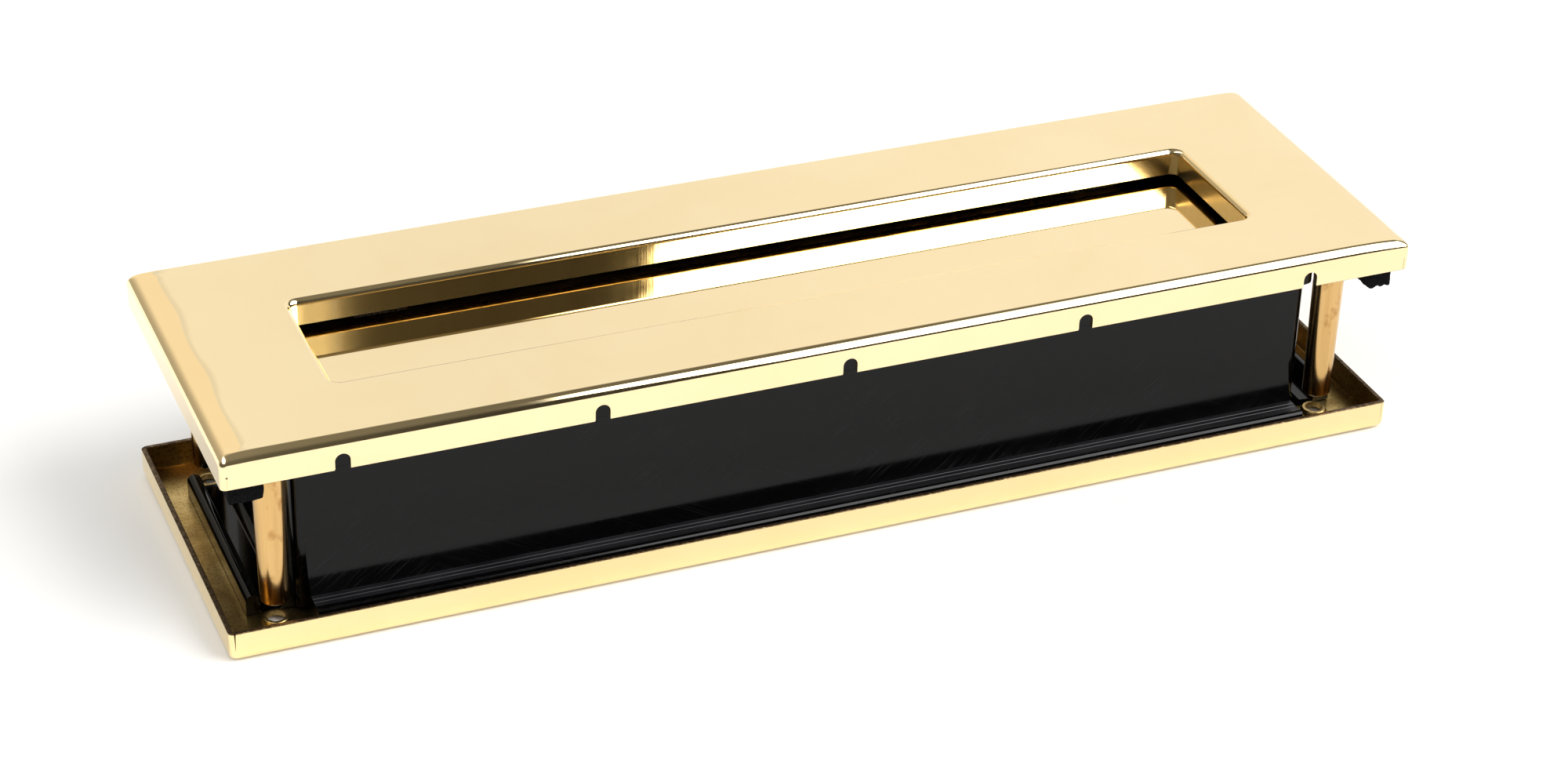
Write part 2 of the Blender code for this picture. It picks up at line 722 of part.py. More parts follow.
def main():
    clear_scene()
    build_inner_frame()
    build_rear_sleeve()
    build_lugs("inner", INNER_LUG_X, INNER_HINGE_Y, INNER_HINGE_Z, FLOOR_Z)
    build_hinge_rod("inner", INNER_LUG_X, INNER_HINGE_Y, INNER_HINGE_Z)
    build_inner_flap()
    build_springs("inner", INNER_HINGE_Y, INNER_HINGE_Z, 90.0, -1.0, INNER_FLAP_FACE_Z + INNER_FLAP_SHEET)
    build_front_plate()
    build_front_sleeve()
    build_posts()
    build_foam_strips()
    build_lugs("front", FRONT_LUG_X, FRONT_HINGE_Y, FRONT_HINGE_Z, HANG_Z)
    build_hinge_rod("front", FRONT_LUG_X, FRONT_HINGE_Y, FRONT_HINGE_Z)
    build_front_flap()
    build_springs("front", FRONT_HINGE_Y, FRONT_HINGE_Z, 270.0, 1.0, FRONT_FLAP_FACE_Z - FRONT_FLAP_SHEET)
    build_buffers()


main()
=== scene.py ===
"""A brass letter plate on a white table: the looks of each piece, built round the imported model.

+X runs along the plate, +Y is up when it is fitted, +Z points out of the door. All lengths are in metres.
"""

import math

import bmesh
import bpy
from mathutils import Matrix, Vector, noise


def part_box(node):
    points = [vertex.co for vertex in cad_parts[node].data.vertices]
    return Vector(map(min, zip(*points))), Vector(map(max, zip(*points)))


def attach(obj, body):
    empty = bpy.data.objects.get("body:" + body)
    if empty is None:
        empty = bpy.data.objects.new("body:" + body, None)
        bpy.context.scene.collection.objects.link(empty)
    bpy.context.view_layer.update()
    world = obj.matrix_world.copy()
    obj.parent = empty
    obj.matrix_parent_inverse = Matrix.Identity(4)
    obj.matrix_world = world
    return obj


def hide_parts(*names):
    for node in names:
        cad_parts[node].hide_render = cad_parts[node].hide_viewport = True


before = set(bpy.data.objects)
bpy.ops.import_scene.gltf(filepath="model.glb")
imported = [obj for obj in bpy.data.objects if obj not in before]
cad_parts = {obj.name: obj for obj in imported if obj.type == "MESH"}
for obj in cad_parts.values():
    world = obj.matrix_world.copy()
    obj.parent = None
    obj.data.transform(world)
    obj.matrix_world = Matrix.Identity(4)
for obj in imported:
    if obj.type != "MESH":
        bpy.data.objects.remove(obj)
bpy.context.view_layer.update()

# Sheet covers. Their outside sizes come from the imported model.
FRONT_SHEET = 0.0015
INNER_SHEET = 0.0013
SKIRT_CORNER_RADIUS = 0.0014
FACE_CORNER_RADIUS = 0.0023
FRONT_EDGE_ENDS = 0.0030
FRONT_EDGE_SIDES = 0.0026
FRONT_EDGE_DEPTH = 0.0029
INNER_EDGE = 0.0020
OPENING_HALF_X = 0.1235
OPENING_LOW_Y = -0.0220
OPENING_HIGH_Y = 0.0185
OPENING_CORNER_RADIUS = 0.0025
OPENING_EDGE_RADIUS = 0.0016
FRONT_LIP_DEPTH = 0.0073
INNER_LIP_DEPTH = 0.0032
CUT_EDGE_BEVEL = 0.00018
CUTTER_MARGIN = 0.001
INSIDE_FILLET = 0.0006

# The polished face falls away a little towards both ends.
END_ROLL_LENGTH = 0.0086
END_ROLL_DEPTH = 0.00040
END_ROLL_WANDER = 0.0032
END_ROLL_WAVES = 48.0
END_ROLL_POWER = 1.6
CORNER_SAG = 0.00035
CORNER_SAG_REACH = 0.016
WAVE_DEPTH = 0.000018
WAVES_ALONG = 22.0
WAVES_ACROSS = 30.0

NOTCH_COUNT = 5
NOTCH_PITCH = 0.0642
NOTCH_WIDTH = 0.0038
NOTCH_HEIGHT = 0.0044
NOTCH_FLARE = 0.0006

# Folded corners: a relief hole and a seam in the front plate, open seams in the inner frame.
RELIEF_HOLE_X = -0.1560
RELIEF_HOLE_Z = 0.0530
RELIEF_HOLE_RADIUS = 0.00026
SEAM_WIDTH = 0.00010
SEAM_DEPTH = 0.0004
TRAY_SEAM_X = 0.1561
TRAY_SEAM_TOP_WIDTH = 0.00050
TRAY_SEAM_LOW_Z = 0.0028

BOLT_HOLE_RADIUS = 0.0023
DIMPLE_FOOT_RADIUS = 0.0036
DIMPLE_TOP_RADIUS = 0.0031
DIMPLE_HEIGHT = 0.0011
DIMPLE_SLOPE = 0.0001
DIMPLE_EDGE = 0.00015
COUNTERSINK_DEPTH = 0.0010
COUNTERSINK_RADIUS = 0.0036

POST_X = 0.1430
POST_Y = 0.0327
POST_TOP_RADIUS = 0.0042
POST_FOOT_RADIUS = 0.0037
POST_CHAMFER = 0.00045
POST_BORE_RADIUS = 0.0021
THREAD_PITCH = 0.0008
THREAD_DEPTH = 0.00032
THREAD_TURNS = 16
POST_BORE_DEPTH = 0.028

# Telescopic sleeve.
REAR_WALL_X = 0.1375
REAR_WALL_Y = 0.0310
REAR_WALL = 0.0013
FRONT_WALL_X = 0.1390
FRONT_WALL_Y = 0.0325
FRONT_WALL = 0.0011
SLEEVE_CORNER_RADIUS = 0.0025
FRONT_FLANGE = 0.0013
FOOT_HALF_X = 0.1345
FOOT_HALF_Y = 0.0412
FOOT_TOP_Z = 0.0070
FOOT_FLARE_RADIUS = 0.0340
FOOT_FLARE_DEGREES = 25.0
RIDGE_RADIUS = 0.0014
RIDGE_CREST_Z = 0.0074
TAB_HALF_X = 0.1494
TAB_HALF_Y = 0.0290
TAB_TOP_Z = 0.0030
TAB_FILLET = 0.0036
BAR_RADIUS = 0.0018
BAR_CREST_Z = 0.0070
LEDGE_LOW_Z = 0.0040
LEDGE_TOP_Z = 0.0053
LEDGE_REACH_Y = 0.0198
LEDGE_HALF_X = 0.1200
BAND_STEP = 0.00012
BAND_BEVEL = 0.0001
FIRST_BAND = 0.0014
SECOND_BAND = 0.0027
RUBBED_FROM = 0.0030
END_FLANGE_INSET = 0.002

# Flaps and their hinges.
BARREL_RADIUS = 0.0026
BARREL_BORE = 0.0016
FRONT_HINGE = (0.0240, 0.0466)
INNER_HINGE = (0.0155, 0.0050)
FRONT_BARREL_X = 0.1260
INNER_BARREL_X = 0.1200
BARREL_CLEARANCE = 0.0003
SPRING_GAP = (0.0920, 0.1060)
FRONT_FLAP_BOX = (0.1280, -0.0245, 0.0210, 0.0477, 0.0492)
INNER_FLAP_BOX = (0.1230, -0.0215, 0.0125, 0.0024, 0.0037)
FLAP_CORNER_RADIUS = 0.0025
FLAP_EDGE_BEVEL = 0.00022
CURL_START = 0.0042
CURL_END_DEGREES = -190.0
CURL_STEPS = 30
CORNER_RELIEF = 0.0075
ROD_RADIUS = 0.0015
ROD_CHAMFER = 0.0003
CLIP_RADIUS = 0.0029
CLIP_BORE = 0.0016
CLIP_TEETH = 6
CLIP_EDGE = 0.0001
CLIP_RIM = 0.0006
CLIP_SHEET_SHARE = 0.45
CLIP_SLIT_REACH = 0.0021
CLIP_SLIT_WIDTH = 0.00026
SPRING_MEAN_RADIUS = 0.00224
SPRING_WIRE_RADIUS = 0.00031
SPRING_TURNS = 7
SPRING_STEPS_PER_TURN = 30
SPRING_MARGIN = 0.0013
SPRING_LEG = 0.0075
SPRING_STUB_RADIUS = 0.0034
BUFFER_BEVEL = 0.0004

FOAM_VOXEL = 0.0006
FOAM_CHAMFER_LEFT = (0.0006, 0.0010)
FOAM_CHAMFER_RIGHT = (0.0024, 0.0033)
FOAM_ROUGHNESS = 0.00022
FOAM_RAGGED = 0.0013
FOAM_TEAR_HEIGHT = 0.003
FOAM_GRAIN = 900.0
FOAM_TEARS = (420.0, 620.0)
FOAM_POST_RELIEF = 0.0046

FLOOR_HALF = 4.0
FLOOR_DROP = 0.0002

# The room as the brass sees it. A pair holds where a light starts and where it is full, in X, Y or Z.
BACKDROP_Y = (0.25, 0.50)
BACKDROP_Z = (0.88, 0.66)
BACKDROP_X = (0.149, 0.155)
BACKDROP_SHADE_X = (0.174, 0.157)
BACKDROP_SHADE = 0.16
BACKDROP_RISE_X = (0.16, 0.42)
BACKDROP_RISE = 0.12
BACKDROP_LIGHT = 0.86
WARM_SIDE_X = (-0.55, -0.05)
WARM_SIDE_RISE = 0.6
WARM_SIDE_LEAST = 0.4
WARM_SIDE_LIGHT = 0.82
SOFTBOX_SLANT = 0.371
SOFTBOX_BESIDE = (0.000, 0.004)
SOFTBOX_X = (0.268, 0.288)
SOFTBOX_Y = (0.10, -0.15)
SOFTBOX_LOW_Z = (0.25, 0.30)
SOFTBOX_HIGH_Z = (0.93, 0.88)
SOFTBOX_LIGHT = 7.0
TOP_LIGHT_X = (-0.30, -0.42)
TOP_LIGHT_Z = (0.66, 0.76)
TOP_LIGHT = 3.0
ROOM_LIGHT = 0.05
ROOM_HIGH_Z = (0.45, 0.90)
ROOM_HIGH_LIGHT = 0.12
ROOM_LEFT_X = (0.27, 0.16)
ROOM_LEFT_LIGHT = 0.08

# What the room adds to a matt surface, what the camera sees past the table, and the two lamps over it.
FILL_LIGHT = (0.37, 0.363, 0.348)
PLAIN_BACKGROUND = (0.93, 0.93, 0.925)
OVERHEAD_LAMP = {"place": (-0.30, -0.14, 1.9), "size": 2.6, "power": 21.0}
SIDE_LAMP = {"place": (-1.6, 0.25, 0.65), "size": 0.9, "power": 6.5}

CAMERA_PLACE = (-0.30693, -0.73148, 0.49567)
CAMERA_YAW = math.radians(22.915)
CAMERA_PITCH = math.radians(30.874)
CAMERA_ROLL = math.radians(1.600)
CAMERA_LENS = 81.745
CAMERA_SENSOR = 36.0

SIDE_STEPS_LONG = 96
SIDE_STEPS_SHORT = 30
CORNER_STEPS = 7
EDGE_STEPS = 12
ROUND_STEPS = 48

OUTSIDE = 0
LIP = 1
INSIDE = 2
CUT = 3


# ---------------------------------------------------------------- materials


class NodeTree:
    """Short ways to add shader nodes to a material or the world."""

    def __init__(self, owner):
        owner.use_nodes = True
        self.nodes = owner.node_tree.nodes
        self.links = owner.node_tree.links

    def feed(self, socket, value):
        if hasattr(value, "links"):
            self.links.new(value, socket)
        elif isinstance(value, tuple) and len(socket.default_value) == 4:
            socket.default_value = (*value, 1.0)
        else:
            socket.default_value = value

    def add(self, kind, inputs=None, **settings):
        node = self.nodes.new("ShaderNode" + kind)
        for setting, value in settings.items():
            setattr(node, setting, value)
        for socket, value in (inputs or {}).items():
            self.feed(node.inputs[socket], value)
        return node

    def math(self, operation, first, second):
        return self.add("Math", {0: first, 1: second}, operation=operation).outputs[0]

    def mix(self, factor, first, second, blend="MIX"):
        inputs = {0: factor, 6: first, 7: second}
        return self.add("Mix", inputs, data_type="RGBA", blend_type=blend).outputs[2]


class Shader(NodeTree):
    """A Principled material whose patterns lie in the object's own space."""

    def __init__(self, name, **sockets):
        self.material = bpy.data.materials.new(name)
        super().__init__(self.material)
        self.surface = self.nodes["Principled BSDF"]
        self.place = self.add("TexCoord").outputs["Object"]
        for socket, value in sockets.items():
            self.surface.inputs[socket.replace("_", " ")].default_value = value

    def noise(self, scale, detail=3.0, stretch=(1.0, 1.0, 1.0), roughness=0.5, distortion=0.0):
        mapping = self.add("Mapping", {"Vector": self.place, "Scale": stretch})
        inputs = {
            "Vector": mapping.outputs["Vector"],
            "Scale": scale,
            "Detail": detail,
            "Roughness": roughness,
            "Distortion": distortion,
        }
        return self.add("TexNoise", inputs).outputs["Fac"]

    def along(self, direction):
        """How far each point lies along a direction."""
        inputs = {0: self.place, 1: tuple(direction)}
        return self.add("VectorMath", inputs, operation="DOT_PRODUCT").outputs["Value"]

    def streaks(self, degrees, length, width, seed):
        """Noise drawn out into lines in the XZ plane, at an angle to X. Length and width are in metres."""
        angle = math.radians(degrees)
        forward = self.along((math.cos(angle), 0.3, math.sin(angle)))
        across = self.along((-math.sin(angle), 0.5, math.cos(angle)))
        inputs = {0: self.math("DIVIDE", forward, length), 1: self.math("DIVIDE", across, width), 2: seed}
        place = self.add("CombineXYZ", inputs).outputs[0]
        return self.add("TexNoise", {"Vector": place, "Scale": 1.0, "Detail": 1.5}).outputs["Fac"]

    def ramp(self, value, stops):
        """A colour ramp through (position, colour) stops. A colour may be one grey number."""
        node = self.add("ValToRGB", {"Fac": value})
        elements = node.color_ramp.elements
        while len(elements) < len(stops):
            elements.new(0.5)
        for element, (position, colour) in zip(elements, stops):
            element.position = position
            grey = isinstance(colour, (int, float))
            element.color = (colour, colour, colour, 1.0) if grey else (*colour, 1.0)
        return node.outputs["Color"]

    def bump(self, height, distance, strength=1.0, below=None):
        inputs = {"Height": height, "Distance": distance, "Strength": strength}
        if below:
            inputs["Normal"] = below
        return self.add("Bump", inputs).outputs["Normal"]

    def finish(self, colour, roughness, normal):
        """Links the three sockets that every material here drives, and gives the material."""
        for socket, value in (("Base Color", colour), ("Roughness", roughness), ("Normal", normal)):
            self.links.new(value, self.surface.inputs[socket])
        return self.material

    def grained(self, grain, colours, roughness, depth, strength):
        """Finishes a material whose colour, gloss and bumps all follow one grain."""
        colour = self.ramp(grain, colours)
        return self.finish(colour, self.ramp(grain, roughness), self.bump(grain, depth, strength))


def polished_brass(name, roughness=(0.018, 0.045), blue=1.0):
    """Lacquered mirror brass with faint buffing haze and a few hairlines."""
    shader = Shader(name, Metallic=1.0)
    haze = shader.noise(20.0, detail=5.0, roughness=0.62, distortion=0.4)
    stops = [
        (0.30, (0.935, 0.745, 0.43 * blue)),
        (0.55, (0.956, 0.776, 0.468 * blue)),
        (0.80, (0.965, 0.795, 0.49 * blue)),
    ]
    smear = shader.noise(60.0, detail=5.0, stretch=(0.4, 1.6, 1.0))
    rough = shader.ramp(smear, [(0.30, roughness[0]), (0.70, roughness[1])])
    hairlines = shader.noise(900.0, detail=2.0, stretch=(0.05, 1.0, 1.0))
    return shader.finish(shader.ramp(haze, stops), rough, shader.bump(hairlines, 0.000003, 0.22))


def lip_brass():
    """The same brass on the drawn lips, lined by the polishing and duller towards both ends."""
    shader = Shader("polished_brass_lip", Metallic=1.0)
    lines = shader.noise(500.0, detail=3.0, stretch=(1.0, 1.0, 0.05))
    colour = shader.ramp(lines, [(0.25, (0.90, 0.72, 0.38)), (0.75, (0.965, 0.80, 0.48))])
    smear = shader.ramp(shader.noise(90.0, detail=4.0), [(0.30, 0.018), (0.75, 0.045)])
    from_middle = shader.math("ABSOLUTE", shader.along((1.0, 0.0, 0.0)), 0.0)
    near_ends = shader.ramp(shader.math("MULTIPLY", from_middle, 8.0), [(0.80, 0.0), (0.92, 1.0)])
    rough = shader.mix(near_ends, smear, (0.22, 0.22, 0.22))
    return shader.finish(colour, rough, shader.bump(lines, 0.000008, 0.3))


def dull_brass(name, light=1.0):
    """The unpolished side of the sheet: grainy, tarnished in patches, with rubbed scratches."""
    shader = Shader(name, Metallic=1.0)
    patches = shader.noise(42.0, detail=6.0, roughness=0.62, distortion=0.7)
    stops = [(0.28, (0.20, 0.12, 0.030)), (0.48, (0.46, 0.32, 0.11)), (0.72, (0.70, 0.53, 0.24))]
    stops = [(place, tuple(channel * light for channel in colour)) for place, colour in stops]
    tarnish = shader.ramp(patches, stops)
    grain = shader.noise(1500.0, detail=4.0)
    specks = shader.ramp(grain, [(0.30, (0.50, 0.44, 0.34)), (0.52, (1.0, 1.0, 1.0))])
    colour = shader.mix(0.85, tarnish, specks, "MULTIPLY")
    rough = shader.ramp(patches, [(0.25, 0.40), (0.80, 0.22)])
    scratches = shader.noise(420.0, detail=3.0, stretch=(0.08, 1.0, 1.0))
    coarse = shader.bump(scratches, 0.00003, 0.4)
    return shader.finish(colour, rough, shader.bump(grain, 0.00002, 0.5, below=coarse))


def cut_brass():
    """The sheared edge of the sheet, brown and torn along its length."""
    shader = Shader("cut_brass_edge", Metallic=1.0)
    tears = shader.noise(1100.0, detail=4.0, stretch=(1.0, 1.0, 0.4))
    stops = [(0.35, (0.055, 0.033, 0.016)), (0.60, (0.13, 0.085, 0.045)), (0.85, (0.34, 0.25, 0.14))]
    return shader.grained(tears, stops, [(0.3, 0.55), (0.8, 0.35)], 0.00006, 0.6)


def turned_brass():
    """Satin brass of the posts, with drawn lines along them and brown spots."""
    shader = Shader("turned_brass", Metallic=1.0)
    streaks = shader.noise(420.0, detail=4.0, stretch=(1.0, 1.0, 0.05))
    base = shader.ramp(streaks, [(0.25, (0.58, 0.36, 0.135)), (0.75, (0.76, 0.50, 0.22))])
    spots = shader.noise(230.0, detail=4.0, stretch=(1.0, 1.0, 0.6))
    stain = shader.ramp(spots, [(0.30, (0.50, 0.33, 0.16)), (0.44, (1.0, 1.0, 1.0))])
    colour = shader.mix(0.8, base, stain, "MULTIPLY")
    rough = shader.ramp(streaks, [(0.3, 0.20), (0.8, 0.12)])
    return shader.finish(colour, rough, shader.bump(streaks, 0.00001, 0.4))


def gloss_plastic():
    """Black gloss plastic with hairline scratches and shallow moulding waves."""
    shader = Shader("scratched_black_plastic", Specular_IOR_Level=0.20)
    rising = shader.ramp(shader.streaks(38.0, 0.014, 0.00022, 1.0), [(0.59, 0.0), (0.67, 1.0)])
    falling = shader.ramp(shader.streaks(-30.0, 0.018, 0.00025, 7.0), [(0.62, 0.0), (0.70, 0.7)])
    patches = shader.ramp(shader.noise(34.0, detail=2.0), [(0.42, 0.0), (0.62, 1.0)])
    scratch = shader.mix(patches, falling, rising)
    colour = shader.mix(scratch, (0.0006, 0.0006, 0.0008), (0.007, 0.007, 0.0075))
    dust = shader.ramp(shader.noise(24.0, detail=4.0), [(0.35, 0.07), (0.75, 0.13)])
    rough = shader.mix(scratch, dust, (0.20, 0.20, 0.20))
    return shader.finish(colour, rough, shader.bump(shader.noise(45.0, detail=1.0), 0.00010, 0.25))


def satin_plastic():
    """The same plastic on the foot, dusty and rubbed to a satin."""
    shader = Shader("satin_black_plastic", Specular_IOR_Level=0.30)
    dust = shader.noise(120.0, detail=5.0, stretch=(0.5, 1.0, 1.0))
    colour = shader.ramp(dust, [(0.30, (0.005, 0.005, 0.006)), (0.75, (0.017, 0.017, 0.019))])
    rough = shader.ramp(dust, [(0.30, 0.28), (0.75, 0.42)])
    return shader.finish(colour, rough, shader.bump(shader.noise(1400.0, detail=2.0), 0.00001, 0.4))


def cell_foam():
    """Black foam with open cells on its cut faces."""
    shader = Shader("black_cell_foam", Specular_IOR_Level=0.05)
    cells = shader.add("TexVoronoi", {"Vector": shader.place, "Scale": 2200.0}).outputs["Distance"]
    colours = [(0.05, 0.001), (0.7, (0.007, 0.007, 0.0075))]
    return shader.grained(cells, colours, [(0.1, 0.75), (0.8, 1.0)], 0.00025, 0.9)


def matt_rubber():
    """Dull black rubber with a fine grain."""
    shader = Shader("matt_rubber", Specular_IOR_Level=0.3)
    skin = shader.noise(900.0, detail=3.0)
    return shader.grained(skin, [(0.3, 0.010), (0.8, 0.030)], [(0.3, 0.75), (0.8, 0.6)], 0.00003, 0.4)


def drawn_steel(name, dark, light):
    """Plated steel rod or spring wire with lines along X."""
    shader = Shader(name, Metallic=1.0)
    lines = shader.noise(800.0, detail=3.0, stretch=(0.06, 1.0, 1.0))
    return shader.grained(lines, [(0.25, dark), (0.8, light)], [(0.25, 0.34), (0.8, 0.2)], 0.00001, 0.4)


# ---------------------------------------------------------------- mesh helpers


def finish_mesh(name, bm, materials, sharp_degrees=35.0):
    """Links a bmesh as an object with smooth faces, kept sharp where it folds."""
    bmesh.ops.recalc_face_normals(bm, faces=bm.faces)
    mesh = bpy.data.meshes.new(name)
    bm.to_mesh(mesh)
    bm.free()
    made = bpy.data.objects.new(name, mesh)
    bpy.context.scene.collection.objects.link(made)
    for material in materials:
        mesh.materials.append(material)
    shade(made, sharp_degrees)
    return made


def shade(piece, sharp_degrees=35.0):
    piece.data.shade_smooth()
    piece.data.set_sharp_from_angle(angle=math.radians(sharp_degrees))
    weighted = piece.modifiers.new("weighted_normals", "WEIGHTED_NORMAL")
    weighted.keep_sharp = True


def stand_for(piece, node, body):
    """The piece takes the place of a CAD node and moves with its body."""
    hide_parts(node)
    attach(piece, body)
    return piece


def bake_modifiers(piece):
    """Replaces the object's mesh by the one its modifiers give."""
    bpy.context.view_layer.update()
    graph = bpy.context.evaluated_depsgraph_get()
    baked = bpy.data.meshes.new_from_object(piece.evaluated_get(graph))
    old = piece.data
    piece.modifiers.clear()
    piece.data = baked
    bpy.data.meshes.remove(old)


def combine(piece, helpers, operation, sharp_degrees=35.0):
    """Cuts or joins the helpers for good, then removes them."""
    piece.modifiers.clear()
    for helper in helpers:
        helper.modifiers.clear()
        boolean = piece.modifiers.new("boolean", "BOOLEAN")
        boolean.operation = operation
        boolean.solver = "EXACT"
        boolean.material_mode = "TRANSFER"
        boolean.object = helper
    bake_modifiers(piece)
    for helper in helpers:
        bpy.data.objects.remove(helper, do_unlink=True)
    shade(piece, sharp_degrees)


def bevel_edges(piece, width, segments=2):
    """Takes the sharp edges off a plain shape."""
    piece.modifiers.clear()
    bevel = piece.modifiers.new("bevel", "BEVEL")
    bevel.width = width
    bevel.segments = segments
    bevel.limit_method = "ANGLE"
    bake_modifiers(piece)
    shade(piece)


def arc(centre_across, centre_up, radius, start, end, steps):
    points = []
    for step in range(steps + 1):
        angle = math.radians(start + (end - start) * step / steps)
        points.append((centre_across + radius * math.cos(angle), centre_up + radius * math.sin(angle)))
    return points


def circle(centre_across, centre_up, radius, steps=ROUND_STEPS):
    return arc(centre_across, centre_up, radius, 0.0, 360.0, steps)[:-1]


def outline(low_x, high_x, low_y, high_y, radius, long_steps=SIDE_STEPS_LONG, short_steps=SIDE_STEPS_SHORT):
    """Points round a rectangle with round corners and divided sides, counter-clockwise from the +X side."""
    corners = (
        (high_x - radius, high_y - radius, 0.0),
        (low_x + radius, high_y - radius, 90.0),
        (low_x + radius, low_y + radius, 180.0),
        (high_x - radius, low_y + radius, 270.0),
    )
    turns = [arc(x, y, radius, start, start + 90.0, CORNER_STEPS) for x, y, start in corners]
    points = []
    for index, turn in enumerate(turns):
        points += turn
        after = turns[(index + 1) % len(turns)][0]
        steps = long_steps if index % 2 == 0 else short_steps
        for step in range(1, steps):
            share = step / steps
            points.append(tuple(a + (b - a) * share for a, b in zip(turn[-1], after)))
    return points


def blend_points(first, second, share):
    return [(a + (c - a) * share, b + (d - b) * share) for (a, b), (c, d) in zip(first, second)]


def skin(rings, closed, indices=None):
    """A bmesh over rings of points. The last ring joins the first if closed, or else both ends are filled.

    indices gives the material of the band that starts at each ring.
    """
    bm = bmesh.new()
    indices = indices or [0] * len(rings)
    rings = [[bm.verts.new(place) for place in ring] for ring in rings]
    for band in range(len(rings) if closed else len(rings) - 1):
        ring = rings[band]
        following = rings[(band + 1) % len(rings)]
        for corner in range(len(ring)):
            beside = (corner + 1) % len(ring)
            face = bm.faces.new((ring[corner], ring[beside], following[beside], following[corner]))
            face.material_index = indices[band]
    if not closed:
        for end in (0, -1):
            bm.faces.new(rings[end]).material_index = indices[end]
    return bm


def loft(levels, closed):
    """A skin over levels of (points, z, material index)."""
    rings = [[(x, y, z) for x, y in points] for points, z, _ in levels]
    return skin(rings, closed, [index for _, _, index in levels])


def on_axis(axis, position, across, up):
    """A point of a section that stands across an axis, at a position along it."""
    places = {"X": (position, across, up), "Y": (across, position, up), "Z": (across, up, position)}
    return places[axis]


def extrude(name, section, along, start, end, materials):
    """A closed section pushed along X or Y from (across, z) points, or along Z from (x, y) points."""
    rings = [[on_axis(along, position, *place) for place in section] for position in (start, end)]
    return finish_mesh(name, skin(rings, False), materials)


def turn(name, profile, axis, centre, materials, closed=False, steps=ROUND_STEPS):
    """A turned shape from (position, radius) points along an axis, X at (y, z) or Z at (x, y)."""
    rings = []
    for position, radius in profile:
        rings.append([on_axis(axis, position, *place) for place in circle(*centre, radius, steps)])
    return finish_mesh(name, skin(rings, closed), materials)


def box(name, low, high, materials):
    corners = [(low[0], low[1]), (high[0], low[1]), (high[0], high[1]), (low[0], high[1])]
    return extrude(name, corners, "Z", low[2], high[2], materials)


def ends():
    """The side of +1 or -1 and the name of each end."""
    return ((-1, "left"), (1, "right"))


# ---------------------------------------------------------------- pressed covers


def end_roll(x, y, half_x):
    """How far the polished face has dropped at (x, y): none in the middle, more towards each end."""
    wander = noise.noise(Vector((math.copysign(3.0, x), y * END_ROLL_WAVES, 3.7))) * END_ROLL_WANDER
    length = END_ROLL_LENGTH + wander
    into = max(0.0, (abs(x) - (half_x - length)) / length)
    return END_ROLL_DEPTH * into ** END_ROLL_POWER


def corner_sag(x, y, half_x, half_y):
    """The front corner at the right end was polished down a little more than the others."""
    from_end = max(0.0, 1.0 - (half_x - x) / CORNER_SAG_REACH)
    from_side = max(0.0, 1.0 - (y + half_y) / CORNER_SAG_REACH)
    return CORNER_SAG * from_end * from_side


def slow_wave(x, y):
    """The faint unevenness of a hand-polished sheet."""
    return WAVE_DEPTH * (noise.noise(Vector((x * WAVES_ALONG, y * WAVES_ACROSS, 0.3))) + 0.6)


